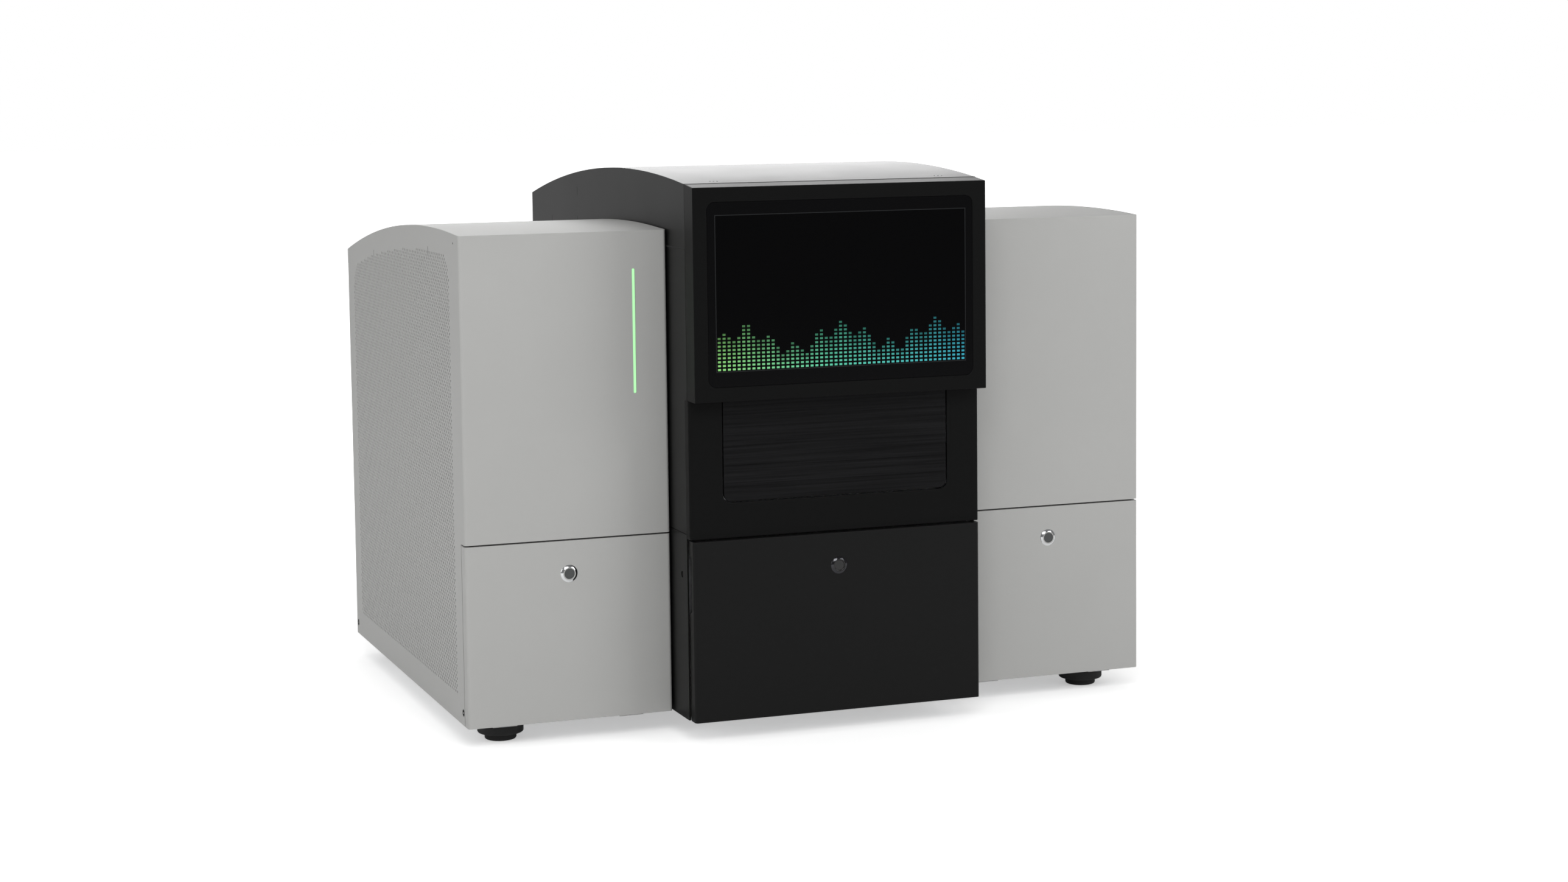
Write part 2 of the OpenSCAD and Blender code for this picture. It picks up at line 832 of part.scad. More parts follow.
module waste_door() {
    half_w = xt - waste_door_side;
    color(tower_black) difference() {
        union() {
            front_shell(-half_w, half_w, yw, waste_back, zb, zd, edge_r, front_wall);
            at_swing_hinges() hinge_on_door();
        }
        at_swing_hinges() {
            hinge_pocket();
            hinge_bore();
        }
        lengthwise(-half_w - eps, -half_w + front_wall + eps)
            rounded(waste_back - scoop_d, waste_back + scoop_d, scoop_z, scoop_z + scoop_l, 6);
        at_button(0) button_hole();
    }
}

module door_hinges() {
    color(steel) {
        both_sides() at_drop_hinges() hinge_on_frame(drop_leaf_l);
        at_swing_hinges() hinge_on_frame(y_bulk - swing_y);
    }
}

// ---------- Tower ----------

gear_x = window_w / 2 - 24;
pinion_r = gear_m * pinion_teeth / 2;
rack_t = 2.5;
shutter_front = yp + 0.5;
shutter_back = shutter_front + shutter_t;
pinion_y = shutter_back + rack_t + 1.25 * gear_m + pinion_r;
pinion_z = z_floor + bay_h + 17;
motor_r = 11.5;
slot_in = 10;

module tower_frame() {
    gear_slot = pinion_r + gear_m + 2;
    gear_slot_in = 34;
    gear_slot_out = 14;
    cable_half = 80;
    sill_up = 10;
    head_down = 3;
    color(steel) {
        difference() {
            box(-xt_skin, xt_skin, y_bulk, y_bay, z_pan, skirt_z);
            upright(y_bulk - eps, y_bay + eps) {
                translate([-window_w / 2 + slot_in, z_floor + sill_up])
                    square([window_w - 2 * slot_in, head_z - head_down - z_floor - sill_up]);
                translate([-waste_w / 2, z_pan + skin_t]) square([waste_w, waste_h]);
                translate([gear_x - gear_slot_in, pinion_z - gear_slot])
                    square([gear_slot_in + gear_slot_out, 2 * gear_slot]);
                rounded(-cable_half, cable_half, pinion_z + gear_slot + 10, skirt_z - 25, 8);
            }
        }
        box(-xt_skin, xt_skin, y_bay, yt - skin_t, z_deck - bulkhead_t, z_deck);
    }
}

module tower_cheeks() {
    groove = 1;
    groove_z = zu + 5;
    mark_d = 8;
    color(tower_black) both_sides() difference() {
        lengthwise(xt_skin, xt) {
            translate([y_cheek, zb]) square([y_portal - y_cheek, skirt_z - zb]);
            translate([y_portal - eps, z_pan]) square([yt - y_portal + eps, skirt_z - z_pan]);
            translate([yh, head_z]) square([y_cheek - yh + eps, skirt_z - head_z]);
        }
        box(xt - groove, xt + eps, y_cheek - eps, ym + front_d, groove_z, groove_z + groove);
        translate([xt - groove, ym - 40, z_button - mark_d / 2]) rotate([0, 90, 0])
            cylinder(d = mark_d, h = 2 * groove);
    }
}

inlet_x = -110;
inlet_z = 120;
inlet_w = 46;
inlet_h = 26;
switch_z = inlet_z + 34;
rocker_in = 6;
rocker_tilt = 8;
rocker_pivot = 2;
rocker_pivot_r = 1.5;
port_x = 90;
port_z = 130;

module tower_rear_panel() {
    color(tower_black) upright(yt - skin_t, yt) difference() {
        translate([-xt_skin, zb]) square([2 * xt_skin, skirt_z - zb]);
        vents(20, 4, 0, 330);
        translate([inlet_x, (inlet_z + switch_z) / 2]) square([inlet_w - 8, 62], center = true);
        translate([port_x, port_z]) square([62, 14], center = true);
    }
}

module tower_roof() {
    color(tower_black) difference() {
        lengthwise(-xt, xt) tower_view(yh, yt, skirt_z);
        lengthwise(-xt_skin, xt_skin) tower_view(yh - eps, yt - skin_t, skirt_z - eps, skin_t);
        at_roof_screws() translate([0, 0, -screw_head_t]) {
            cylinder(d = screw_head_d + screw_head_gap, h = screw_head_t + eps);
            translate([0, 0, -screw_l]) cylinder(d = screw_d, h = screw_l + eps);
        }
    }
}

roof_screw_x = 150;
roof_screw_y = yh + 16;

// On the slope of the roof, with Z pointing out of it
module at_roof_screws() {
    slope = asin((tower_crown_y - roof_screw_y) / tower_roof_r);
    for (x = [-roof_screw_x, roof_screw_x])
        translate([x, roof_screw_y, tower_z(roof_screw_y)]) rotate([slope, 0, 0]) children();
}

screen_gap = 2;
display_half = max(xt, screen_w / 2 + screen_gap + head_wall);
glass_x = display_half - glass_border;
glass_z0 = head_z + glass_border;
glass_z1 = tower_z(yf) - glass_border;

module display_housing() {
    slot_half = window_w / 2 + 1.5;
    color(tower_black) difference() {
        lengthwise(-display_half, display_half) tower_view(yf, yh, head_z);
        lengthwise(-display_half + head_wall, display_half - head_wall)
            tower_view(yf + head_wall, yh + eps, head_z + head_wall, head_wall);
        upright(yf - eps, yf + head_wall + eps) rounded(-glass_x, glass_x, glass_z0, glass_z1, glass_r);
        box(-slot_half, slot_half, yp - 1.5, yh + eps, head_z - eps, head_z + head_wall + eps);
    }
}

module display_glass() {
    fit = 0.25;
    color([0.03, 0.03, 0.035]) upright(yf + glass_sink, yf + glass_sink + glass_t)
        rounded(-glass_x + fit, glass_x - fit, glass_z0 + fit, glass_z1 - fit, glass_r - fit);
}

module display_module() {
    y0 = yf + glass_sink + glass_t;
    zc = (glass_z0 + glass_z1) / 2;
    plate_t = 2;
    x_plate = display_half - head_wall;
    color([0.1, 0.1, 0.12]) {
        box(-screen_w / 2, screen_w / 2, y0, y0 + screen_d, zc - screen_h / 2, zc + screen_h / 2);
        box(-x_plate, x_plate, y0 + screen_d, y0 + screen_d + plate_t,
            head_z + head_wall, tower_z(yf) - head_wall);
    }
}

module fascia() {
    corner_r = 3;
    pass_half = rod_x + 10;
    color(tower_black) difference() {
        front_shell(-xt, xt, yp, y_cheek, zu, head_z, corner_r, front_wall);
        upright(yp - eps, y_cheek + eps)
            rounded(-window_w / 2, window_w / 2, z_sill, head_z + 2 * window_r, window_r);
        box(-pass_half, pass_half, yp + front_wall, y_cheek + eps, head_z - front_wall - eps, head_z + eps);
    }
}

// ---------- Shutter ----------

shutter_z1 = head_z + 8;
rod_x = window_w / 2 + 7.5;
rod_y = y_bulk - 6;
block_back = y_bulk - 1;
block_front = y_bulk - 11;
block_h = 25;
rod_top = shutter_z1 + shutter_travel + 20;

// Flanks of a tooth of the rack, and of the pinion at a radius
function tooth_half(h) = (PI * gear_m / 2 - backlash) / 2 - h * tan(20);

module rack() {
    z0 = pinion_z - shutter_travel - 1.5 * pinion_r;
    z1 = pinion_z + 1.5 * pinion_r;
    pitch = PI * gear_m;
    root = shutter_back + rack_t;
    lengthwise(gear_x, gear_x + gear_w) {
        translate([shutter_back, z0]) square([rack_t, z1 - z0]);
        for (k = [-ceil((pinion_z - z0) / pitch) + 1 : floor((z1 - pinion_z) / pitch) - 1])
            translate([root, pinion_z + (k + 0.5) * pitch]) polygon([
                [-0.1, tooth_half(-1.25 * gear_m)], [2.25 * gear_m, tooth_half(gear_m)],
                [2.25 * gear_m, -tooth_half(gear_m)], [-0.1, -tooth_half(-1.25 * gear_m)]]);
    }
}

module nest_shutter() {
    half_w = window_w / 2 - shutter_gap;
    z0 = z_sill + shutter_gap;
    color([0.08, 0.08, 0.08]) {
        upright(shutter_front, shutter_back) difference() {
            rounded(-half_w, half_w, z0, shutter_z1 + window_r, window_r);
            translate([-half_w - eps, shutter_z1]) square([2 * half_w + 2 * eps, 2 * window_r]);
        }
        both_sides() for (z = [z0 + 30, shutter_z1 - block_h - 4]) difference() {
            union() {
                box(rod_x - 18, rod_x + 8, block_front, block_back, z, z + block_h);
                box(rod_x - 18, half_w - 1, shutter_back - 0.5, block_front + eps, z, z + block_h);
            }
            translate([rod_x, rod_y, z - eps]) cylinder(d = rod_d + 2 * rod_clear, h = block_h + 2 * eps);
        }
        rack();
    }
}

module shutter_rods() {
    z0 = z_sill - 6;
    foot_l = 8;
    color(steel) both_sides() {
        translate([rod_x, rod_y, z0]) cylinder(d = rod_d, h = rod_top - z0);
        for (z = [z0 - foot_l, rod_top]) box(rod_x - 8, rod_x + 8, block_front, y_bulk, z, z + foot_l);
    }
}

pinion_root = pinion_r - 1.25 * gear_m;
shaft_d = 5;

module shutter_pinion() {
    step = 360 / pinion_teeth;
    color("gold") translate([gear_x, pinion_y, pinion_z]) rotate([90, 0, 90]) {
        linear_extrude(gear_w) {
            circle(r = pinion_root);
            for (k = [0:pinion_teeth - 1]) rotate(180 + k * step) polygon([
                [pinion_root - 0.6, tooth_half(-0.3)], [pinion_r - 0.3, tooth_half(-0.3)],
                [pinion_r + gear_m, tooth_half(gear_m)], [pinion_r + gear_m, -tooth_half(gear_m)],
                [pinion_r - 0.3, -tooth_half(-0.3)], [pinion_root - 0.6, -tooth_half(-0.3)]]);
        }
        translate([0, 0, -12]) cylinder(d = shaft_d, h = 12 + eps);
    }
}

module shutter_motor() {
    l = 28;
    clear = 1;
    foot_low = 16;
    foot_high = 22;
    foot_in = 44;
    color([0.2, 0.2, 0.22]) difference() {
        union() {
            translate([gear_x - clear - l, pinion_y, pinion_z]) rotate([0, 90, 0])
                cylinder(r = motor_r, h = l);
            box(gear_x - foot_in, gear_x - clear - 2, y_bay, y_bay + 3,
                pinion_z - foot_low, pinion_z + foot_high);
        }
        translate([gear_x - 14, pinion_y, pinion_z]) rotate([0, 90, 0])
            cylinder(d = shaft_d + 2 * rod_clear, h = 20);
    }
}

// ---------- Nest bay ----------

bay_back = y_bay + bay_d;
rail_x = 100;
rail_w = 12;
rail_h = 8;
stage_z = z_floor + rail_h + 2;
stage_plate_t = 4;
z_nest = stage_z + stage_plate_t;
nest_y0 = y_bay + 33;
nest_y1 = nest_y0 + nest_l;
z_lid = z_nest + nest_h + running;
lid_y = nest_y1 + 5;
lid_axis_z = z_nest + nest_h + 4;
lid_pin_d = 4;
lid_ear_x = nest_w / 2 - 10;
exit_z = z_lid + lid_t + 12;

module nest_bay_liner() {
    top = z_floor + bay_h;
    half = bay_half_w + skin_t;
    color([0.85, 0.86, 0.86]) difference() {
        box(-half, half, y_bay, bay_back, z_floor, top);
        box(-bay_half_w, bay_half_w, y_bay - eps, bay_back - skin_t, z_floor - eps, top - skin_t);
        box(-bay_half_w, bay_half_w, bay_back - 2 * skin_t, bay_back + eps, z_floor - eps, exit_z);
    }
}

module stage_base() {
    plate_t = 10;
    leg = 24;
    y1 = lid_y + stage_travel + 20;
    half = bay_half_w + skin_t;
    color([0.55, 0.56, 0.58]) {
        box(-half, half, y_bay, y1, z_floor - plate_t, z_floor);
        for (x = [-half, half - leg], y = [y_bay, y1 - leg])
            box(x, x + leg, y, y + leg, z_deck, z_floor - plate_t);
        for (x = [-rail_x, rail_x])
            box(x - rail_w / 2, x + rail_w / 2, y_bay + 14, y1, z_floor, z_floor + rail_h);
    }
}

module stage_carriage() {
    shoe_w = 24;
    shoe_l = 28;
    y0 = nest_y0 - 4;
    y1 = nest_y1 + 14;
    half = nest_x + nest_w / 2 + 8;
    color(steel) {
        box(-half, half, y0, y1, stage_z, z_nest);
        for (x = [-rail_x, rail_x], y = [y0 + 2, y1 - 2 - shoe_l]) difference() {
            box(x - shoe_w / 2, x + shoe_w / 2, y, y + shoe_l, z_floor + 1.5, stage_z);
            box(x - rail_w / 2 - running, x + rail_w / 2 + running, y - eps, y + shoe_l + eps,
                z_floor, z_floor + rail_h + running);
        }
    }
}

cell_w = 28;
cell_l = 76;
cell_t = 1.2;
cell_y0 = nest_y0 + 12;

module at_nests() {
    for (side = [-1, 1]) translate([side * nest_x, 0, 0]) children();
}

module nests() {
    ear_w = 6;
    color([0.3, 0.31, 0.33]) at_nests() difference() {
        union() {
            box(-nest_w / 2, nest_w / 2, nest_y0, nest_y1, z_nest, z_nest + nest_h);
            for (s = [-1, 1]) translate([s * (lid_ear_x + ear_w / 2) - ear_w / 2, 0, 0])
                box(0, ear_w, nest_y1 - eps, lid_y + 5, z_nest, lid_axis_z + 5);
        }
        box(-cell_w / 2 - 0.5, cell_w / 2 + 0.5, cell_y0 - 0.5, cell_y0 + cell_l + 0.5,
            z_nest + nest_h - cell_t, z_nest + nest_h + eps);
        translate([-nest_w / 2 - eps, lid_y, lid_axis_z]) rotate([0, 90, 0])
            cylinder(d = lid_pin_d + 2 * rod_clear, h = nest_w + 2 * eps);
    }
}

module nest_lid(side) {
    arm_half = lid_ear_x - 2;
    pin_half = lid_ear_x + 5;
    front = nest_y0 + 2;
    knuckle_r = 4;
    color([0.75, 0.76, 0.78]) translate([side * nest_x, 0, 0]) difference() {
        union() {
            box(-nest_w / 2 + 1, nest_w / 2 - 1, front, nest_y1 - 3, z_lid, z_lid + lid_t);
            box(-arm_half, arm_half, nest_y1 - 4, lid_y, z_lid, lid_axis_z + 4);
            translate([-arm_half, lid_y, lid_axis_z]) rotate([0, 90, 0])
                cylinder(r = knuckle_r, h = 2 * arm_half);
            translate([-pin_half, lid_y, lid_axis_z]) rotate([0, 90, 0])
                cylinder(d = lid_pin_d, h = 2 * pin_half);
        }
        translate([0, 0, z_lid - eps]) linear_extrude(lid_t + 2 * eps)
            rounded(-lid_window_w / 2, lid_window_w / 2, cell_y0 + 4, cell_y0 + cell_l - 4, 5);
    }
}

module flow_cells() {
    color([0.7, 0.85, 0.9]) at_nests() translate([0, 0, z_nest + nest_h - cell_t]) linear_extrude(cell_t)
        rounded(-cell_w / 2, cell_w / 2, cell_y0, cell_y0 + cell_l, 2);
}

// ---------- Optics ----------

objective_r = 14;
head_half = 40;
head_front = bay_back + 4;
head_back = head_front + 26;
gantry_y = head_back + 5;
z_optics = exit_z + 20;

module optics_gantry() {
    rail_half = head_half + optics_travel + 20;
    color([0.45, 0.46, 0.48]) {
        box(-xt_skin, xt_skin, gantry_y, gantry_y + 35, z_optics + 20, z_optics + 60);
        for (z = [z_optics + 24, z_optics + 50])
            box(-rail_half, rail_half, gantry_y - 4, gantry_y, z, z + 6);
    }
}

module optics_head() {
    axis_y = (head_front + head_back) / 2;
    shoe_h = 12;
    color([0.16, 0.16, 0.18]) {
        difference() {
            box(-head_half, head_half, head_front, gantry_y - running, z_optics, z_optics + 70);
            box(-head_half - eps, head_half + eps, head_back, gantry_y, z_optics - eps, z_optics + 20);
            for (z = [z_optics + 24, z_optics + 50]) box(-head_half - eps, head_half + eps,
                gantry_y - 4 - running, gantry_y, z - running, z + 6 + running);
        }
        translate([0, axis_y, exit_z - 4]) cylinder(r1 = objective_r - 4, r2 = objective_r, h = 10);
        translate([0, axis_y, exit_z + 6]) cylinder(r = objective_r, h = 15);
        translate([0, axis_y, z_optics + 70 - eps]) cylinder(r = objective_r - 1, h = 60);
    }
}

// ---------- Electronics and rear ----------

computer_w = 180;
computer_l = 280;
computer_h = 160;
supply_w = 140;
supply_l = 200;
supply_h = 90;
case_t = 1.5;
case_rear = y_portal + 400;

// A sheet case on the shelf, with rows of slots in its front and rear
module case(w, l, h) {
    slots = floor((w - 2 * vent_pitch) / vent_pitch);
    translate([0, case_rear - l, z_shelf + skin_t]) difference() {
        box(-w / 2, w / 2, 0, l, 0, h);
        box(-w / 2 + case_t, w / 2 - case_t, case_t, l - case_t, case_t, h - case_t);
        upright(-eps, l + eps) vents(slots, 1, 0, h / 2);
    }
}

module electronics() {
    color([0.6, 0.62, 0.6]) {
        translate([-xm, 0, 0]) case(computer_w, computer_l, computer_h);
        translate([xm, 0, 0]) case(supply_w, supply_l, supply_h);
    }
}

fan_y = yr - skin_t - fan_depth;
fan_shaft_d = 5;

module at_fan(side) {
    translate([side * xm, fan_y, fan_z]) along_y() children();
}

module fan_frame() {
    strut = 5;
    hole_in = 7.5;
    hole_at = fan_side / 2 - hole_in;
    difference() {
        linear_extrude(fan_depth) difference() {
            rounded(-fan_side / 2, fan_side / 2, -fan_side / 2, fan_side / 2, 6);
            circle(d = fan_d);
        }
        for (x = [-hole_at, hole_at], y = [-hole_at, hole_at]) translate([x, y, -eps])
            cylinder(d = 4.3, h = fan_depth + 2 * eps, $fn = 24);
    }
    for (a = [0:90:270]) rotate([0, 0, a + 45]) translate([0, -strut / 2, 0]) cube([fan_d / 2 + 1, strut, 3]);
    cylinder(r = 18, h = 3);
    cylinder(d = fan_shaft_d, h = fan_depth - 5);
}

module fan_frames() {
    color(rubber_black) for (side = [-1, 1]) at_fan(side) fan_frame();
}

module fan_rotor(side) {
    blades = 7;
    hub_r = 20;
    tip_r = fan_d / 2 - 1.5;
    color([0.12, 0.12, 0.12]) at_fan(side) difference() {
        union() {
            translate([0, 0, 3.5]) cylinder(r = hub_r, h = fan_depth - 5);
            intersection() {
                translate([0, 0, 4]) cylinder(r = tip_r, h = fan_depth - 6);
                for (k = [0:blades - 1]) rotate([0, 0, k * 360 / blades]) translate([0, 0, fan_depth / 2])
                    rotate([35, 0, 0]) translate([hub_r - 2, -15, -1]) cube([tip_r, 30, 2]);
            }
        }
        translate([0, 0, -eps]) cylinder(r = fan_shaft_d / 2 + rod_clear, h = fan_depth - 4 + eps);
    }
}

module rear_connectors() {
    flange = 2;
    body_d = 22;
    color(rubber_black) {
        difference() {
            union() {
                upright(yt, yt + flange) rounded(inlet_x - inlet_w / 2, inlet_x + inlet_w / 2,
                    inlet_z - inlet_h / 2 - 6, switch_z + inlet_h / 2 + 6, 4);
                box(inlet_x - inlet_w / 2 + 4, inlet_x + inlet_w / 2 - 4, yt - body_d, yt,
                    (inlet_z + switch_z) / 2 - 31, (inlet_z + switch_z) / 2 + 31);
            }
            upright(yt - body_d + 4, yt + flange + eps) {
                rounded(inlet_x - 12.5, inlet_x + 12.5, inlet_z - 9, inlet_z + 9, 3);
                translate([inlet_x - 11, switch_z - 8]) square([22, 16]);
            }
            translate([inlet_x, yt - rocker_in, switch_z])
                barrel(-14, 28, rocker_pivot_r + rod_clear);
        }
        for (p = [[-7, 2], [0, -3], [7, 2]])
            translate([inlet_x + p[0] - 1, yt - body_d + 4 - eps, inlet_z + p[1] - 2]) cube([2, 15, 4]);
        difference() {
            box(port_x - 31, port_x + 31, yt - body_d, yt + 1, port_z - 7, port_z + 7);
            upright(yt - body_d + 4, yt + 1 + eps) {
                for (x = [-20, 0]) translate([port_x + x, port_z]) square([13, 5.5], center = true);
                translate([port_x + 20, port_z]) square([12, 8], center = true);
            }
        }
    }
}

module rocker_switch() {
    half_l = 10.5;
    half_h = 6.8;
    color(rubber_black) translate([inlet_x, yt - rocker_in, switch_z]) rotate([rocker_tilt, 0, 0]) {
        lengthwise(-half_l, half_l)
            polygon([[-3, -half_h], [7.4, -half_h], [6.2, 0], [7.4, half_h], [-3, half_h]]);
        barrel(-half_l - rocker_pivot, 2 * (half_l + rocker_pivot), rocker_pivot_r);
    }
}

// A flat-headed screw with its head's face at the origin, pointing down
module screw() {
    key = screw_d * 0.6;
    difference() {
        union() {
            translate([0, 0, -screw_head_t]) cylinder(d = screw_head_d, h = screw_head_t);
            translate([0, 0, -screw_l]) cylinder(d = screw_d, h = screw_l);
        }
        translate([0, 0, -0.8]) cylinder(d = key, h = 0.8 + eps, $fn = 6);
    }
}

module panel_screws() {
    color(steel) {
        both_sides() for (p = side_screws()) translate([xo, p[0], p[1]]) rotate([0, 90, 0]) screw();
        at_roof_screws() screw();
    }
}

// ---------- The two sides and the nodes ----------

module left_frame() { module_frame(-1); }
module right_frame() { module_frame(1); }
module left_side_panel() { side_panel(-1); }
module right_side_panel() { side_panel(1); }
module left_roof() { module_roof(-1); }
module right_roof() { module_roof(1); }
module left_upper_front() { upper_front(-1); }
module right_upper_front() { upper_front(1); }
module left_door() { reagent_door(-1); }
module right_door() { reagent_door(1); }
module left_rear_panel() { module_rear_panel(-1); }
module right_rear_panel() { module_rear_panel(1); }
module left_cartridge() { reagent_cartridge(-1); }
module right_cartridge() { reagent_cartridge(1); }
module left_sipper() { sipper(-1); }
module right_sipper() { sipper(1); }
module left_nest_lid() { nest_lid(-1); }
module right_nest_lid() { nest_lid(1); }
module left_button_bezel() { at_button(-1) button_bezel(); }
module right_button_bezel() { at_button(1) button_bezel(); }
module power_button_bezel() { at_button(0) button_bezel(); }
module left_button() { at_button(-1) button_disc(); }
module right_button() { at_button(1) button_disc(); }
module power_button() { at_button(0) button_disc(); }
module left_fan_rotor() { fan_rotor(-1); }
module right_fan_rotor() { fan_rotor(1); }

base_pan();
feet();
tower_frame();
tower_cheeks();
tower_rear_panel();
tower_roof();
display_housing();
display_glass();
display_module();
fascia();
nest_shutter();
shutter_rods();
shutter_motor();
shutter_pinion();
nest_bay_liner();
stage_base();
stage_carriage();
nests();
left_nest_lid();
right_nest_lid();
flow_cells();
optics_gantry();
optics_head();
left_frame();
right_frame();
left_side_panel();
right_side_panel();
left_roof();
right_roof();
left_upper_front();
right_upper_front();
left_door();
right_door();
left_rear_panel();
right_rear_panel();
reagent_bay_liners();
reagent_baskets();
left_cartridge();
right_cartridge();
bottles();
bottle_caps();
left_sipper();
right_sipper();
waste_door();
waste_bay_liner();
door_hinges();
left_button_bezel();
left_button();
right_button_bezel();
right_button();
power_button_bezel();
power_button();
light_bar();
electronics();
fan_frames();
left_fan_rotor();
right_fan_rotor();
rear_connectors();
rocker_switch();
panel_screws();
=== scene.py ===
"""Looks for the benchtop sequencer: finishes, fine perforated side sheets, seams, lit display and studio."""

import bmesh
import bpy
import json
import math
from mathutils import Matrix, Vector


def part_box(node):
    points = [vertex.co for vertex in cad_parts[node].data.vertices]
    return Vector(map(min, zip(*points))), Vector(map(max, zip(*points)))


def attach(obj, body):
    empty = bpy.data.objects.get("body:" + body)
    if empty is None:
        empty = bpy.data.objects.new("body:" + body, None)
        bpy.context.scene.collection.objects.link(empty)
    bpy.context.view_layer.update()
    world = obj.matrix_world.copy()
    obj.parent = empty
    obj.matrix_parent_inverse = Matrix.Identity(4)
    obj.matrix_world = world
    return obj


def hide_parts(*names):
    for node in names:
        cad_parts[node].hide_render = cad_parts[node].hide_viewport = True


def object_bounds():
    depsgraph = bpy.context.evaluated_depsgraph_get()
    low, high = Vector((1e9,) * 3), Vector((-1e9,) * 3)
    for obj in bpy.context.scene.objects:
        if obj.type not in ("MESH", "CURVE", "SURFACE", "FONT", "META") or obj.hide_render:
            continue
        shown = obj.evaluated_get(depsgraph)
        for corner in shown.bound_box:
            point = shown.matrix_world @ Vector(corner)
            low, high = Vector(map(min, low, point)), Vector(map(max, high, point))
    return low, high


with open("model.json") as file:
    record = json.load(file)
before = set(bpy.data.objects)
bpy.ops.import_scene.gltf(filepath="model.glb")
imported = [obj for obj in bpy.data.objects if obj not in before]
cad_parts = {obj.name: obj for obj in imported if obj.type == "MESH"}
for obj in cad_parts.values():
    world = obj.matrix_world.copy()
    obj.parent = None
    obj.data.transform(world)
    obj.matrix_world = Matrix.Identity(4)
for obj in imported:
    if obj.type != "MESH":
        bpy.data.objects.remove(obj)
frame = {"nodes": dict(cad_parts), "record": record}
cad_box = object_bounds()
NODES = frame["nodes"]
SLOT_OF = {s["node"]: s["material_slot"] for s in frame["record"]["subparts"]}
BODY_OF = {n: b for b, ns in frame["record"]["behaviour"]["bodies"].items() for n in ns}


# ---------- Node helpers ----------

class Graph:
    """A material's or a group's node tree, with short calls to add and link nodes."""

    def __init__(self, tree):
        self.tree = tree

    def add(self, kind, **values):
        """A new node with its settings; an input takes a value or another node's output."""
        node = self.tree.nodes.new(kind)
        inputs = values.pop("inputs", {})
        for name, value in values.items():
            setattr(node, name, value)
        for name, value in inputs.items():
            if isinstance(value, bpy.types.NodeSocket):
                self.tree.links.new(value, node.inputs[name])
            else:
                node.inputs[name].default_value = value
        return node

    def math(self, operation, a, b=0.0, c=0.0):
        return self.add("ShaderNodeMath", operation=operation, inputs={0: a, 1: b, 2: c}).outputs[0]

    def ramp(self, factor, stops):
        """A colour that runs through stops of (position, colour)."""
        node = self.add("ShaderNodeValToRGB", inputs={"Fac": factor})
        elements = node.color_ramp.elements
        while len(elements) < len(stops):
            elements.new(0.5)
        for element, (position, colour) in zip(elements, stops):
            element.position = position
            element.color = (*colour, 1.0)
        return node.outputs["Color"]


def new_group(name, inputs, outputs):
    """An empty shader group with its named inputs (name, kind, default) and outputs (name, kind)."""
    tree = bpy.data.node_groups.new(name, "ShaderNodeTree")
    for label, kind, default in inputs:
        socket = tree.interface.new_socket(name=label, in_out="INPUT", socket_type=kind)
        socket.default_value = default
    for label, kind in outputs:
        tree.interface.new_socket(name=label, in_out="OUTPUT", socket_type=kind)
    graph = Graph(tree)
    return graph, graph.add("NodeGroupInput"), graph.add("NodeGroupOutput")


CLOUD_SCALE, CLOUD_DEPTH = 9.0, 0.05     # the broad unevenness of paint: blotches a metre, and its depth
CLOUD_GLOSS = 1.2                        # how much of that unevenness the gloss takes
PEBBLE_HEIGHT = 0.0003                   # of the grain of paint, in metres
STREAK_GLOSS = 0.25                      # how much the gloss changes from streak to streak
STREAK_HEIGHT = 0.0002


def powder_coat_group():
    """Fine-grained sprayed paint: speckled colour, uneven gloss and a pebbled surface."""
    g, given, out = new_group("powder_coat", [
        ("Colour", "NodeSocketColor", (0.4, 0.4, 0.4, 1)), ("Speckle", "NodeSocketFloat", 0.06),
        ("Gloss", "NodeSocketFloat", 0.5), ("Grain", "NodeSocketFloat", 1500.0),
        ("Relief", "NodeSocketFloat", 0.1)],
        [("Colour", "NodeSocketColor"), ("Roughness", "NodeSocketFloat"), ("Normal", "NodeSocketVector")])
    place = g.add("ShaderNodeTexCoord").outputs["Object"]
    grain = g.add("ShaderNodeTexNoise", inputs={"Vector": place, "Scale": given.outputs["Grain"],
                                                "Detail": 3.0, "Roughness": 0.6}).outputs["Fac"]
    cloud = g.add("ShaderNodeTexNoise", inputs={"Vector": place, "Scale": CLOUD_SCALE,
                                                "Detail": 2.0}).outputs["Fac"]
    centred = g.math("SUBTRACT", grain, 0.5)
    broad = g.math("MULTIPLY", g.math("SUBTRACT", cloud, 0.5), CLOUD_DEPTH)
    level = g.math("ADD", g.math("MULTIPLY_ADD", centred, given.outputs["Speckle"], 1.0), broad)
    colour = g.add("ShaderNodeVectorMath", operation="SCALE",
                   inputs={0: given.outputs["Colour"], "Scale": level}).outputs[0]
    rough = g.math("ADD", given.outputs["Gloss"], g.math("MULTIPLY", broad, CLOUD_GLOSS))
    bump = g.add("ShaderNodeBump", inputs={"Strength": given.outputs["Relief"], "Distance": PEBBLE_HEIGHT,
                                           "Height": grain}).outputs[0]
    g.tree.links.new(colour, out.inputs["Colour"])
    g.tree.links.new(rough, out.inputs["Roughness"])
    g.tree.links.new(bump, out.inputs["Normal"])
    return g.tree


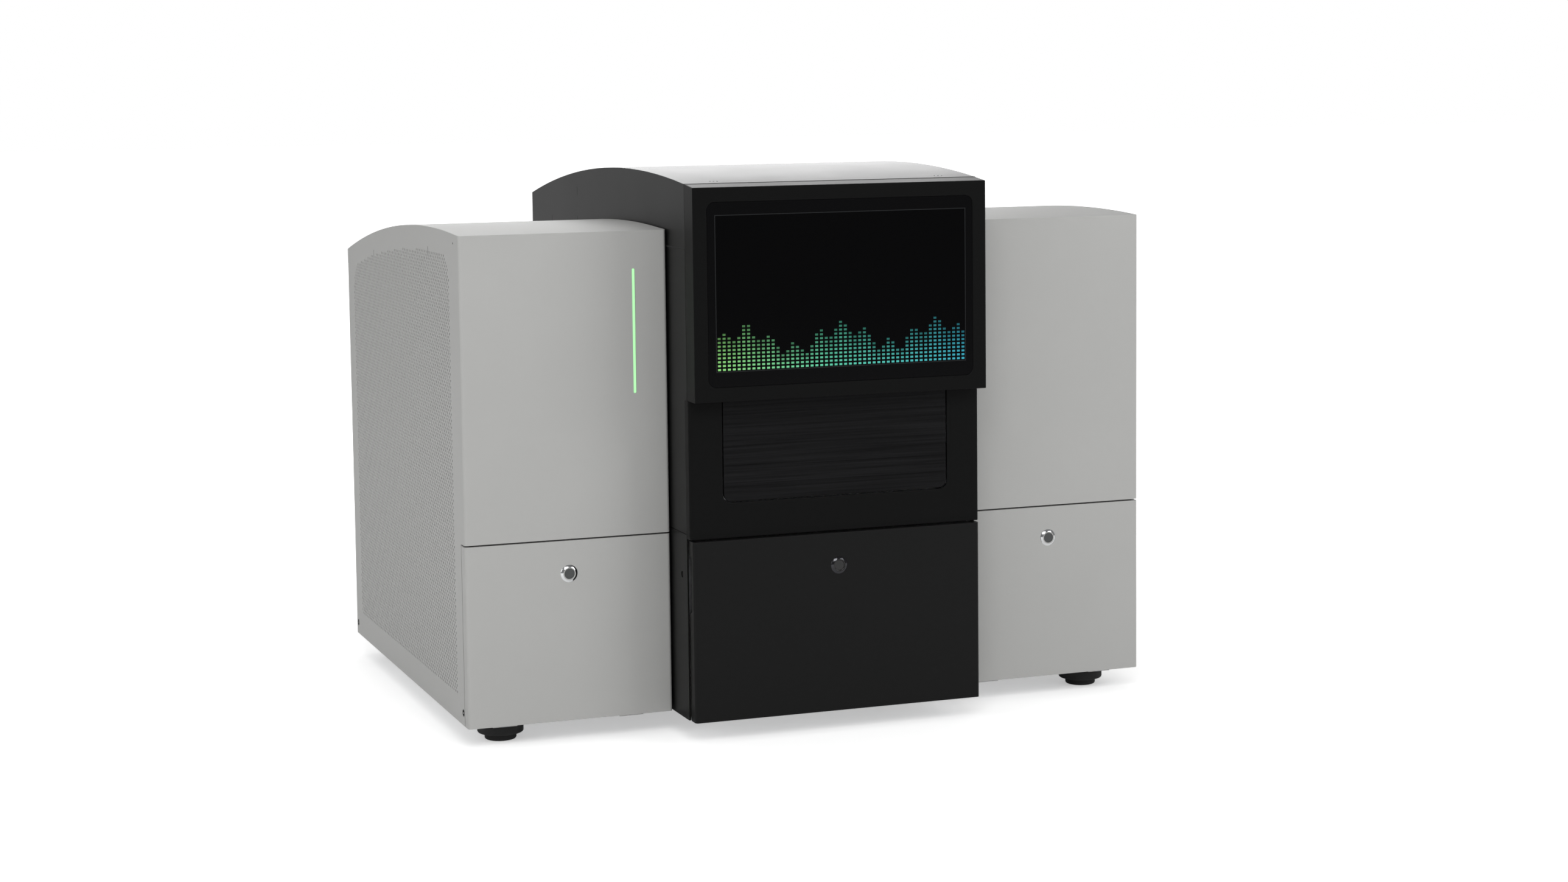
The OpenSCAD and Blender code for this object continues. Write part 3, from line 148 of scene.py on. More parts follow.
def brushed_group():
    """Metal brushed along one direction: streaks in colour, gloss and relief."""
    g, given, out = new_group("brushed_metal", [
        ("Colour", "NodeSocketColor", (0.5, 0.5, 0.5, 1)),
        ("Streak", "NodeSocketVector", (4.0, 900.0, 900.0)),
        ("Contrast", "NodeSocketFloat", 0.3), ("Gloss", "NodeSocketFloat", 0.35),
        ("Relief", "NodeSocketFloat", 0.15)],
        [("Colour", "NodeSocketColor"), ("Roughness", "NodeSocketFloat"), ("Normal", "NodeSocketVector")])
    place = g.add("ShaderNodeTexCoord").outputs["Object"]
    stretched = g.add("ShaderNodeVectorMath", operation="MULTIPLY",
                      inputs={0: place, 1: given.outputs["Streak"]}).outputs[0]
    streak = g.add("ShaderNodeTexNoise", inputs={"Vector": stretched, "Scale": 1.0, "Detail": 4.0,
                                                 "Roughness": 0.65}).outputs["Fac"]
    centred = g.math("SUBTRACT", streak, 0.5)
    level = g.math("MULTIPLY_ADD", centred, given.outputs["Contrast"], 1.0)
    colour = g.add("ShaderNodeVectorMath", operation="SCALE",
                   inputs={0: given.outputs["Colour"], "Scale": level}).outputs[0]
    rough = g.math("ADD", given.outputs["Gloss"], g.math("MULTIPLY", centred, STREAK_GLOSS))
    bump = g.add("ShaderNodeBump", inputs={"Strength": given.outputs["Relief"], "Distance": STREAK_HEIGHT,
                                           "Height": streak}).outputs[0]
    g.tree.links.new(colour, out.inputs["Colour"])
    g.tree.links.new(rough, out.inputs["Roughness"])
    g.tree.links.new(bump, out.inputs["Normal"])
    return g.tree


POWDER = powder_coat_group()
BRUSHED = brushed_group()


def finish_from(name, group, settings, fixed):
    """A material whose Principled shader takes colour, roughness and normal from a shared group."""
    material = bpy.data.materials.new(name)
    material.use_nodes = True
    g = Graph(material.node_tree)
    shader = next(n for n in g.tree.nodes if n.type == "BSDF_PRINCIPLED")
    for socket, value in fixed.items():
        shader.inputs[socket].default_value = value
    surface = g.add("ShaderNodeGroup", node_tree=group, inputs=settings)
    g.tree.links.new(surface.outputs["Colour"], shader.inputs["Base Color"])
    g.tree.links.new(surface.outputs["Roughness"], shader.inputs["Roughness"])
    g.tree.links.new(surface.outputs["Normal"], shader.inputs["Normal"])
    return material


def coat(name, colour, gloss, speckle=0.06, grain=1500.0, relief=0.1, **fixed):
    """Paint, plastic or rubber: the group's values, and any that are the same all over."""
    return finish_from(name, POWDER, {"Colour": (*colour, 1), "Gloss": gloss, "Speckle": speckle,
                                      "Grain": grain, "Relief": relief}, fixed)


def metal(name, colour, gloss, streak, contrast=0.25, relief=0.1, metallic=1.0, **fixed):
    """Metal, with streaks where the grain has a direction."""
    settings = {"Colour": (*colour, 1), "Gloss": gloss, "Streak": streak, "Contrast": contrast,
                "Relief": relief}
    return finish_from(name, BRUSHED, settings, {"Metallic": metallic, **fixed})


# The lit area of the display, in metres: left, right, bottom and top
SCREEN_LEFT, SCREEN_RIGHT, SCREEN_BASE, SCREEN_TOP = -0.1647, 0.1654, 0.4655, 0.6557
SCREEN_FRAME = 0.0009                    # the thin paler line round the lit area
METER_COLUMNS, METER_ROWS = 52, 40
METER_LEVEL = 7.2                        # the mean height of a column, in rows
SWELL_STEP, SWELL_HEIGHT = 0.31, 2.6     # the slow wave along the columns: radians a column, and rows
RIPPLE_STEP, RIPPLE_HEIGHT = 1.27, 1.7   # the quick wave
RIPPLE_START = 0.8
CELL_GAP_ACROSS, CELL_GAP_UP = 0.2, 0.24     # the dark margin of a cell on each side, as a share of it
FADE = 0.75                              # how far a column dims towards its top
SCREEN_GLOW = 0.95
SCREEN_IOR = 1.14                        # a coated glass, which mirrors little
SCREEN_ROUGH, DUST = 0.06, 0.05          # the roughness of clean glass, and what dust adds at most
DUST_SCALE = 60.0


def band(g, value, low, high):
    """1 where the value lies between two limits, and 0 elsewhere."""
    return g.math("MULTIPLY", g.math("GREATER_THAN", value, low), g.math("LESS_THAN", value, high))


def lit_display():
    """Black glass over a screen that shows columns of small lit cells along its lower edge."""
    material = bpy.data.materials.new("screen_glass")
    material.use_nodes = True
    g = Graph(material.node_tree)
    shader = next(n for n in g.tree.nodes if n.type == "BSDF_PRINCIPLED")
    place = g.add("ShaderNodeSeparateXYZ",
                  inputs={0: g.add("ShaderNodeTexCoord").outputs["Object"]}).outputs
    across = g.add("ShaderNodeMapRange", inputs={"Value": place["X"], "From Min": SCREEN_LEFT,
                                                 "From Max": SCREEN_RIGHT}).outputs[0]
    up = g.add("ShaderNodeMapRange", inputs={"Value": place["Z"], "From Min": SCREEN_BASE,
                                             "From Max": SCREEN_TOP}).outputs[0]
    on_screen = g.math("MULTIPLY", band(g, place["X"], SCREEN_LEFT, SCREEN_RIGHT),
                       band(g, place["Z"], SCREEN_BASE, SCREEN_TOP))
    column = g.math("MULTIPLY", across, METER_COLUMNS)
    row = g.math("MULTIPLY", up, METER_ROWS)
    column_number = g.math("FLOOR", column)
    row_number = g.math("FLOOR", row)
    swell = g.math("SINE", g.math("MULTIPLY", column_number, SWELL_STEP))
    ripple = g.math("SINE", g.math("MULTIPLY_ADD", column_number, RIPPLE_STEP, RIPPLE_START))
    level = g.math("MULTIPLY_ADD", swell, SWELL_HEIGHT,
                   g.math("MULTIPLY_ADD", ripple, RIPPLE_HEIGHT, METER_LEVEL))
    filled = g.math("LESS_THAN", row_number, level)
    cell = g.math("MULTIPLY", band(g, g.math("FRACT", column), CELL_GAP_ACROSS, 1.0 - CELL_GAP_ACROSS),
                  band(g, g.math("FRACT", row), CELL_GAP_UP, 1.0 - CELL_GAP_UP))
    fade = g.math("SUBTRACT", 1.0, g.math("MULTIPLY", g.math("DIVIDE", row_number, level), FADE))
    light = g.math("MULTIPLY", g.math("MULTIPLY", cell, filled), g.math("MULTIPLY", fade, on_screen))
    hue = g.ramp(across, [(0.0, (0.30, 0.75, 0.22)), (0.45, (0.12, 0.62, 0.40)), (1.0, (0.05, 0.42, 0.55))])
    in_frame = g.math("MULTIPLY",
                      band(g, place["X"], SCREEN_LEFT - SCREEN_FRAME, SCREEN_RIGHT + SCREEN_FRAME),
                      band(g, place["Z"], SCREEN_BASE - SCREEN_FRAME, SCREEN_TOP + SCREEN_FRAME))
    depth = g.math("MULTIPLY", g.math("ADD", on_screen, in_frame), 0.5)
    border, line, panel = (0.0030, 0.0030, 0.0033), (0.020, 0.021, 0.022), (0.0014, 0.0014, 0.0016)
    shade = g.ramp(depth, [(0.0, border), (0.25, border), (0.5, line), (0.75, panel), (1.0, panel)])
    dust = g.add("ShaderNodeTexNoise", inputs={"Vector": g.add("ShaderNodeTexCoord").outputs["Object"],
                                               "Scale": DUST_SCALE, "Detail": 4.0}).outputs["Fac"]
    rough = g.math("MULTIPLY_ADD", dust, DUST, SCREEN_ROUGH)
    g.tree.links.new(shade, shader.inputs["Base Color"])
    g.tree.links.new(rough, shader.inputs["Roughness"])
    glow = g.add("ShaderNodeVectorMath", operation="SCALE", inputs={0: hue, "Scale": light}).outputs[0]
    g.tree.links.new(glow, shader.inputs["Emission Color"])
    shader.inputs["Emission Strength"].default_value = SCREEN_GLOW
    shader.inputs["IOR"].default_value = SCREEN_IOR
    return material


LENS_CENTRE, LENS_HALF = -0.2387, 0.0016     # of the lit core of the light bar, across the front
LENS_SOFT = 0.2                              # how far the core's edge blurs, as a share of its half width
LENS_GLOW = 0.85


def lit_lens():
    """A milky lens whose middle glows green and whose edges take the colour of the paint round it."""
    material = coat("light_lens", (0.36, 0.42, 0.36), 0.35, 0.0, 400.0, 0.0)
    g = Graph(material.node_tree)
    shader = next(n for n in g.tree.nodes if n.type == "BSDF_PRINCIPLED")
    across = g.add("ShaderNodeSeparateXYZ",
                   inputs={0: g.add("ShaderNodeTexCoord").outputs["Object"]}).outputs["X"]
    away = g.math("ABSOLUTE", g.math("SUBTRACT", across, LENS_CENTRE))
    core = g.add("ShaderNodeMapRange", inputs={"Value": away, "From Min": LENS_HALF * (1.0 - LENS_SOFT),
                                               "From Max": LENS_HALF * (1.0 + LENS_SOFT), "To Min": 1.0,
                                               "To Max": 0.0}).outputs[0]
    glow = g.ramp(core, [(0.0, (0.0, 0.0, 0.0)), (1.0, (0.27, 0.94, 0.27))])
    g.tree.links.new(glow, shader.inputs["Emission Color"])
    shader.inputs["Emission Strength"].default_value = LENS_GLOW
    return material


LEVEL = (5.0, 400.0, 420.0)          # streaks a metre along X, Y and Z: long ones along X
ROUND = (400.0, 400.0, 400.0)        # grain with no direction
FINISH = {
    "grey_paint": coat("grey_paint", (0.40, 0.40, 0.39), 0.52, 0.10, 1300.0, 0.16),
    "black_paint": coat("black_paint", (0.0066, 0.0067, 0.0067), 0.33, 0.30, 1500.0, 0.10, IOR=1.22),
    # painted shade: the black paint again, made darker and less mirroring, for the fascia and the display
    # housing
    "shaded_black_paint": coat("shaded_black_paint", (0.0040, 0.0041, 0.0041), 0.36, 0.30, 1500.0, 0.10, IOR=1.17),
    "brushed_black": metal("brushed_black", (0.0085, 0.0085, 0.009), 0.40, LEVEL, 2.6, 0.3, 0.5, IOR=1.2),
    # a darker steel than their slot's, for the panel screws
    "dark_screw_steel": metal("dark_screw_steel", (0.035, 0.035, 0.036), 0.35, ROUND, 0.2, 0.1),
    "display_black": coat("display_black", (0.01, 0.01, 0.012), 0.5),
    "zinc_steel": metal("zinc_steel", (0.55, 0.56, 0.57), 0.38, ROUND),
    "basket_steel": metal("basket_steel", (0.6, 0.6, 0.61), 0.3, LEVEL),
    "bright_chrome": metal("bright_chrome", (0.8, 0.81, 0.82), 0.08, ROUND, 0.04, 0.01),
    "dark_chrome": metal("dark_chrome", (0.06, 0.06, 0.065), 0.12, ROUND, 0.04, 0.01),
    "button_grey": metal("button_grey", (0.075, 0.078, 0.078), 0.42, ROUND, 0.15, 0.05, 0.4),
    "button_black": coat("button_black", (0.01, 0.01, 0.01), 0.2, 0.02, 900.0, 0.01),
    "black_rubber": coat("black_rubber", (0.012, 0.012, 0.012), 0.75, 0.3, 700.0, 0.25),
    "liner_white": coat("liner_white", (0.75, 0.76, 0.76), 0.5, 0.03, 900.0, 0.05),
    "cast_aluminium": metal("cast_aluminium", (0.5, 0.51, 0.52), 0.4, ROUND),
    "nest_dark": metal("nest_dark", (0.08, 0.08, 0.085), 0.4, ROUND),
    "lid_aluminium": metal("lid_aluminium", (0.62, 0.63, 0.64), 0.42, ROUND, 0.12),
    "optics_black": metal("optics_black", (0.03, 0.03, 0.032), 0.45, ROUND, 0.15),
    "brass_gear": metal("brass_gear", (0.6, 0.42, 0.16), 0.3, ROUND, 0.15),
    "cartridge_plastic": coat("cartridge_plastic", (0.55, 0.62, 0.68), 0.4, 0.03, 800.0, 0.04),
    "bottle_plastic": coat("bottle_plastic", (0.78, 0.79, 0.77), 0.35, 0.03, 500.0, 0.04),
    "cap_blue": coat("cap_blue", (0.04, 0.13, 0.35), 0.4, 0.04, 800.0, 0.05),
    "electronics_metal": coat("electronics_metal", (0.42, 0.43, 0.42), 0.45),
    "fan_plastic": coat("fan_plastic", (0.015, 0.015, 0.016), 0.55),
    "connector_black": coat("connector_black", (0.012, 0.012, 0.012), 0.5),
}
FINISH["screen_glass"] = lit_display()
FINISH["cell_glass"] = coat("cell_glass", (0.75, 0.85, 0.88), 0.06, 0.0, 400.0, 0.0,
                            **{"Transmission Weight": 0.7})
FINISH["light_lens"] = lit_lens()

# Nodes whose finish differs a little from the rest of their slot: the fascia and the display housing
# take a painted shade, the same black paint made darker and less mirroring; the panel screws a darker steel
SPECIAL = {"fascia": "shaded_black_paint", "display_housing": "shaded_black_paint", "panel_screws": "dark_screw_steel"}


def finish_of(node_name):
    """The material of a node: its own, or else its slot's."""
    return FINISH[SPECIAL.get(node_name, SLOT_OF[node_name])]


for node_name, node in NODES.items():
    node.data.materials.clear()
    node.data.materials.append(finish_of(node_name))


# ---------- Pieces ----------

def piece_from(shape, name, slot, body):
    """A new object from a finished shape, with its finish, riding on a body."""
    mesh = bpy.data.meshes.new(name)
    shape.to_mesh(mesh)
    shape.free()
    mesh.materials.append(FINISH[slot])
    piece = bpy.data.objects.new(name, mesh)
    bpy.context.scene.collection.objects.link(piece)
    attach(piece, body)
    return piece


SHARP = math.radians(30)         # the least angle of an edge that stays sharp to the eye
TURNED_SHARP = math.radians(40)  # the same on a turned piece
ROUNDED_FROM = math.radians(38)  # the least angle of an edge that is rounded


def smooth_between_edges(shape, sharp):
    """Shades the faces smoothly and leaves the edges from an angle up sharp."""
    for face in shape.faces:
        face.smooth = True
    for edge in shape.edges:
        edge.smooth = edge.calc_face_angle(0.0) < sharp


def round_edges(piece, width, segments):
    """Rounds the sharp edges, so that they catch the light."""
    rounding = piece.modifiers.new("rounded_edges", "BEVEL")
    rounding.width = width
    rounding.segments = segments
    rounding.limit_method = "ANGLE"
    rounding.angle_limit = ROUNDED_FROM
    rounding.use_clamp_overlap = True
    rounding.harden_normals = True


MERGE = 1e-6                    # vertices nearer than this are one
FLAT = math.radians(0.4)        # faces that meet at less than this are one
FINE_STEPS, BROAD_STEPS = 2, 3  # in a rounded edge
BROAD_FROM = 0.0007             # the width above which a rounding takes the broad steps
BUTTON_ROUNDING = 0.0004


def dress(node_name, width, segments):
    """A copy of a CAD node with its sharp edges rounded, standing for that node."""
    shape = bmesh.new()
    shape.from_mesh(NODES[node_name].data)
    bmesh.ops.remove_doubles(shape, verts=shape.verts, dist=MERGE)
    bmesh.ops.dissolve_limit(shape, angle_limit=FLAT, verts=shape.verts, edges=shape.edges)
    smooth_between_edges(shape, SHARP)
    piece = piece_from(shape, node_name + "_dressed", SLOT_OF[node_name], BODY_OF[node_name])
    piece.data.materials[0] = finish_of(node_name)
    round_edges(piece, width, segments)
    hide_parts(node_name)


# ---------- Perforated side sheets ----------

HOLE_D = 0.0036          # diameter of a hole
HOLE_STEP = 0.00919      # between the holes of a level row
ROW_STEP = 0.00414       # between level rows, each shifted by half a step
SHEET_T = 0.002          # thickness of the sheet
ROOF_R = 2.4             # radius of the arched top edge
ARCH_CUTS = 24           # straight cuts that trim a sheet to the arch
ON_CUT = 1e-7            # vertices nearer to a cut than this lie on it
HOLE_INSET = 6           # a cell's first inset, as a divisor of the hole's diameter
SHEET_BANDS = 3          # level bands that a sheet is kept in, to keep each mesh light
MODULE_BACK = 0.100      # of the modules' fronts behind the foremost face
CROWN_BACK = 0.145       # of the arch's crown behind the front of the module
FIELD_FRONT, FIELD_REAR, FIELD_BASE = -0.228, 0.339, 0.064     # edges of the perforated field
FIELD_TOP_MARGIN = 0.031     # from the field's top up to the arched edge
FIELD_CORNER = 0.022     # chamfer at the field's upper corners


def arch_height(y, crown, radius):
    """The height of an arched top at one depth, from its crown's (depth, height)."""
    return crown[1] - radius + math.sqrt(radius * radius - (y - crown[0]) ** 2)


def in_field(y, z, crown):
    """Whether a hole at this height and depth belongs to the perforated field."""
    roof = arch_height(y, crown, ROOF_R) - FIELD_TOP_MARGIN
    near_corner = min(y - FIELD_FRONT, FIELD_REAR - y)
    return FIELD_FRONT < y < FIELD_REAR and FIELD_BASE < z < roof - max(0.0, FIELD_CORNER - near_corner)


def rhombic_sheet(x, low, high, crown):
    """A sheet of rhombic cells at one X, trimmed to the straight edges and the arched top."""
    middle = Vector((x, (low.y + high.y) / 2, (low.z + high.z) / 2))
    reach = math.ceil(((high.y - low.y) / HOLE_STEP + (high.z - low.z) / (2 * ROW_STEP)) / 2) + 2
    shape = bmesh.new()
    bmesh.ops.create_grid(shape, x_segments=2 * reach, y_segments=2 * reach, size=reach)
    for vert in shape.verts:
        u, v = vert.co.x, vert.co.y
        vert.co = middle + Vector((0.0, (u - v) * HOLE_STEP / 2, (u + v) * ROW_STEP))
    margin = HOLE_STEP
    outside = [f for f in shape.faces if not (
        low.y - margin < f.calc_center_median().y < high.y + margin
        and low.z - margin < f.calc_center_median().z < high.z + margin)]
    bmesh.ops.delete(shape, geom=outside, context="FACES")
    trims = [((x, low.y, 0), (0, -1, 0)), ((x, high.y, 0), (0, 1, 0)), ((x, 0, low.z), (0, 0, -1))]
    for i in range(ARCH_CUTS):
        y = low.y + (high.y - low.y) * (i + 0.5) / ARCH_CUTS
        slope = Vector((0, y - crown[0], math.sqrt(ROOF_R ** 2 - (y - crown[0]) ** 2))).normalized()
        trims.append(((x, y, arch_height(y, crown, ROOF_R)), slope))
    for point, outwards in trims:
        bmesh.ops.bisect_plane(shape, geom=shape.verts[:] + shape.edges[:] + shape.faces[:],
                               dist=ON_CUT, plane_co=point, plane_no=outwards, clear_outer=True)
    return shape


def perforate(shape, crown):
    """Opens a round hole in each cell of the perforated field."""
    cells = [f for f in shape.faces
             if len(f.verts) == 4 and in_field(f.calc_center_median().y, f.calc_center_median().z, crown)]
    edges = list(dict.fromkeys(e for f in cells for e in f.edges))      # each once, in a fixed order
    bmesh.ops.bisect_edges(shape, edges=edges, cuts=1)
    bmesh.ops.inset_individual(shape, faces=cells, thickness=HOLE_D / HOLE_INSET)
    for cell in cells:
        centre = cell.calc_center_bounds()
        for vert in cell.verts:
            vert.co = centre + (vert.co - centre).normalized() * (HOLE_D / 2)
    bmesh.ops.delete(shape, geom=cells, context="FACES")


def outward(piece, side):
    """Whether the sheet's faces look away from the instrument."""
    return piece.data.polygons[0].normal.x * side > 0


def side_sheet(side, node_name):
    """A module's outer sheet with its fine round holes, in level bands."""
    low, high = (Vector(c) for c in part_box(node_name))
    crown = (cad_box[0][1] + MODULE_BACK + CROWN_BACK, high.z)
    shape = rhombic_sheet(high.x if side > 0 else low.x, low, high, crown)
    perforate(shape, crown)
    for i in range(SHEET_BANDS):
        part = shape.copy()
        bottom = low.z + (high.z - low.z) * i / SHEET_BANDS if i else -math.inf
        top = low.z + (high.z - low.z) * (i + 1) / SHEET_BANDS if i < SHEET_BANDS - 1 else math.inf
        other = [f for f in part.faces if not bottom < f.calc_center_bounds().z <= top]
        bmesh.ops.delete(part, geom=other, context="FACES")
        piece = piece_from(part, f"{node_name}_{i + 1}", SLOT_OF[node_name], BODY_OF[node_name])
        thick = piece.modifiers.new("sheet", "SOLIDIFY")
        thick.thickness = SHEET_T
        thick.offset = -1.0 if outward(piece, side) else 1.0
        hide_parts(node_name)
    shape.free()


# ---------- Buttons ----------

TURN_STEPS = 64


def turned(name, profile, centre, slot, body):
    """A ring turned about the Y axis through a centre; the profile is in (radius, Y) from it."""
    shape = bmesh.new()
    loop = [shape.verts.new(centre + Vector((r, y, 0))) for r, y in profile]
    rim = [shape.edges.new(pair) for pair in zip(loop, loop[1:] + loop[:1])]
    bmesh.ops.spin(shape, geom=loop + rim, cent=centre, axis=(0, 1, 0), angle=2 * math.pi, steps=TURN_STEPS,
                   use_merge=True)
    bmesh.ops.recalc_face_normals(shape, faces=shape.faces)
    smooth_between_edges(shape, TURNED_SHARP)
    return piece_from(shape, name, slot, body)


RING_WIDTH, RING_DEPTH = 0.0014, 0.0006      # the ring let in round a button
RING_FACE, RING_BEVEL = 0.0001, 0.0003       # its face behind the bezel's front, and its bevelled edges
BUTTON_PLAY = 0.0001
BEZEL_PROUD = 0.0016                         # from a bezel's front back to its rim
RIM_BEVEL = 0.0003                           # of the rim inwards
RIM_EDGE = 0.0004                            # of the rim forwards
BARREL_STEP = 0.0025                         # from a bezel's rim in to its barrel


def polished_bezel(bezel, button, ring_slot):
    """A bezel's polished cone, with the ring round the button let into its face."""
    low, high = (Vector(c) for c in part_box(bezel))
    button_low, button_high = (Vector(c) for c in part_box(button))
    centre = Vector(((low.x + high.x) / 2, low.y, (low.z + high.z) / 2))
    rim_r = (high.x - low.x) / 2
    bore_r = (button_high.x - button_low.x) / 2 + BUTTON_PLAY
    land_r = bore_r + RING_WIDTH
    barrel_r = rim_r - BARREL_STEP
    back = high.y - low.y
    cone = [(bore_r, RING_DEPTH), (land_r, RING_DEPTH), (land_r, 0.0),
            (rim_r - RIM_BEVEL, BEZEL_PROUD - RIM_EDGE), (rim_r, BEZEL_PROUD),
            (barrel_r, BEZEL_PROUD), (barrel_r, back), (bore_r, back)]
    piece = turned(bezel + "_cone", cone, centre, SLOT_OF[bezel], BODY_OF[bezel])
    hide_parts(bezel)
    ring = [(bore_r, RING_DEPTH), (bore_r, RING_BEVEL), (bore_r + RING_BEVEL, RING_FACE),
            (land_r - RING_BEVEL, RING_FACE), (land_r, RING_BEVEL), (land_r, RING_DEPTH)]
    turned(bezel + "_ring", ring, centre, ring_slot, BODY_OF[bezel])


# The rounding of the edges of each node, in metres: outer shells first, then what the doors cover
ROUNDING = {
    "left_upper_front": 0.0012, "right_upper_front": 0.0012, "left_door": 0.0012, "right_door": 0.0012,
    "left_roof": 0.0008, "right_roof": 0.0008, "tower_roof": 0.0010, "tower_cheeks": 0.0008,
    "fascia": 0.0008, "waste_door": 0.0010, "display_housing": 0.0015, "nest_shutter": 0.0006,
    "light_bar": 0.0006, "feet": 0.0008, "left_rear_panel": 0.0005, "right_rear_panel": 0.0005,
    "base_pan": 0.0006, "stage_carriage": 0.0008, "nests": 0.0006, "left_nest_lid": 0.0008,
    "right_nest_lid": 0.0008, "optics_head": 0.0008, "reagent_baskets": 0.0004, "left_cartridge": 0.0009,
    "right_cartridge": 0.0009, "bottles": 0.0020, "left_sipper": 0.0004, "right_sipper": 0.0004,
    "nest_bay_liner": 0.0006, "reagent_bay_liners": 0.0006, "waste_bay_liner": 0.0006,
    "electronics": 0.0005, "rear_connectors": 0.0004, "rocker_switch": 0.0004,
}
for node_name, width in ROUNDING.items():
    dress(node_name, width, BROAD_STEPS if width > BROAD_FROM else FINE_STEPS)
for place, ring_slot in (("left", "grey_paint"), ("right", "grey_paint"), ("power", "button_black")):
    polished_bezel(place + "_button_bezel", place + "_button", ring_slot)
    dress(place + "_button", BUTTON_ROUNDING, BROAD_STEPS)
side_sheet(-1, "left_side_panel")
side_sheet(1, "right_side_panel")


# ---------- Seams and slits ----------

SEAM_PROUD = 0.00006     # of a shadow strip before the sheet it lies in
ROOF_FRONT = -0.348      # where the tower's roof meets the display housing
SKIRT_FOOT = 0.615       # lower edge of the roof's skirts
TOWER_R, TOWER_CROWN = 2.24, -0.110      # of the tower's arched roof: radius, and depth of its crown
SEAM_W = 0.0011          # width of a seam or slit
SEAM_DEEP = 0.0004       # of a shadow strip behind the sheet's face
FRONT_SEAM_HALF, FRONT_SEAM_DEEP = 0.0016, 0.0012    # of the seam across the roof's front
SKIRT_SHORT = 0.001      # of the skirt's seam before the roof's rear edge


def shadow_strip(name, low, high):
    """A thin dark strip lying in the sheet's face: painted shade in a seam or a slit, in the black rubber
    finish.
    """
    shape = bmesh.new()
    bmesh.ops.create_cube(shape, size=1.0)
    low, high = Vector(low), Vector(high)
    bmesh.ops.scale(shape, vec=high - low, verts=shape.verts)
    bmesh.ops.translate(shape, vec=(low + high) / 2, verts=shape.verts)
    bmesh.ops.bevel(shape, geom=shape.edges[:], offset=SEAM_PROUD / 2, affect="EDGES", segments=1,
                    profile=0.5, material=-1)
    # the black rubber finish here paints the shadow in the gap
    piece_from(shape, name, "black_rubber", "chassis")


def side_strip(name, x, y, z):
    """The same strip on the left and the right face, from its range of depth and of height."""
    for side, place in ((-1, "left"), (1, "right")):
        across = sorted((side * (x + SEAM_PROUD), side * (x - SEAM_DEEP)))
        shadow_strip(f"{place}_{name}", (across[0], y[0], z[0]), (across[1], y[1], z[1]))


def side_slit(name, x, y, z, width=SEAM_W):
    """An upright slit on both side faces, at one depth."""
    side_strip(name, x, (y - width / 2, y + width / 2), z)


roof_low, roof_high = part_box("tower_roof")
roof_crown = (TOWER_CROWN, roof_high[2])
seam_z = arch_height(ROOF_FRONT, roof_crown, TOWER_R)
side_slit("roof_seam", roof_high[0], ROOF_FRONT, (SKIRT_FOOT, seam_z))
slope = math.asin((roof_crown[0] - ROOF_FRONT) / TOWER_R)
front_seam_top = seam_z + FRONT_SEAM_HALF * math.tan(slope) + SEAM_PROUD
shadow_strip("roof_front_seam",
             (roof_low[0], ROOF_FRONT - FRONT_SEAM_HALF, seam_z - FRONT_SEAM_DEEP),
             (roof_high[0], ROOF_FRONT + FRONT_SEAM_HALF, front_seam_top))
side_strip("skirt_seam", roof_high[0], (ROOF_FRONT, roof_high[1] - SKIRT_SHORT),
           (SKIRT_FOOT - SEAM_W, SKIRT_FOOT + SEAM_W / 2))

# The slits in the roof's skirts and in the side panels' upper border: depth and range of height
for name, y, z in (("high", 0.1165, (0.663, 0.675)), ("low", 0.117, (0.6165, 0.635)),
                   ("rear", 0.245, (0.6165, 0.630))):
    side_slit("roof_slit_" + name, roof_high[0], y, z)
panel_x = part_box("right_side_panel")[1][0]
for name, y, z in (("rear", 0.203, (0.584, 0.592)), ("front", -0.121, (0.604, 0.6145))):
    side_slit("panel_slit_" + name, panel_x, y, z)
MARK_W = 0.0022
side_slit("panel_mark", panel_x, -0.254, (0.6240, 0.6240 + MARK_W), MARK_W)


# ---------- Studio ----------

BACKDROP_GLOW, ROOM_GLOW = 1.0, 0.2      # what glossy surfaces see behind and in front of the instrument
BACKDROP_TURN = 0.7                       # how far the bright backdrop is turned to the right
BACKDROP_FROM, BACKDROP_TO = 0.58, 1.05   # the headings at which it starts and is whole
PAPER_MIRRORED = 0.22                     # of the far paper, in glossy surfaces
AIR = 0.43                                # the soft light from all round
PAPER_NEAR, PAPER_FAR = -1.5, 0.5         # the depths between which the mirrored paper fades in
SHADE_NEAR, SHADE_FAR = 0.75, 1.3         # distances from the middle between which the paper turns white
SHADE_KEEP = 0.42                         # the paper's own glow next to the instrument
FLOOR_HALF = 30.0                         # half the width of the floor
FIBRE_SCALE = 40.0                        # of the paper's faint grain

# Each lamp's place, the point that it shines at and its size, in metres, and its power in watts
LAMPS = (
    ("key_light", (-1.1, -3.6, 2.9), (0, 0, 0.35), (2.4, 1.8), 71),
    ("fill_light", (2.6, -3.0, 1.8), (0, 0, 0.35), (2.0, 2.0), 37),
    ("side_light", (-3.4, -0.9, 1.5), (-0.4, 0, 0.35), (1.6, 1.6), 20),
    ("rear_light", (0.0, 3.2, 3.2), (0, 0, 0.6), (3.0, 1.5), 20),
    ("sweep_light", (0.3, 3.6, 1.45), (0, 0, 0.7), (3.4, 0.9), 27),
)


def area_light(name, place, aim, size, power):
    """A rectangular lamp that shines at a point."""
    lamp = bpy.data.lights.new(name, "AREA")
    lamp.shape = "RECTANGLE"
    lamp.size, lamp.size_y = size
    lamp.energy = power
    holder = bpy.data.objects.new(name, lamp)
    bpy.context.scene.collection.objects.link(holder)
    holder.location = place
    holder.rotation_euler = (Vector(aim) - Vector(place)).to_track_quat("-Z", "Y").to_euler()


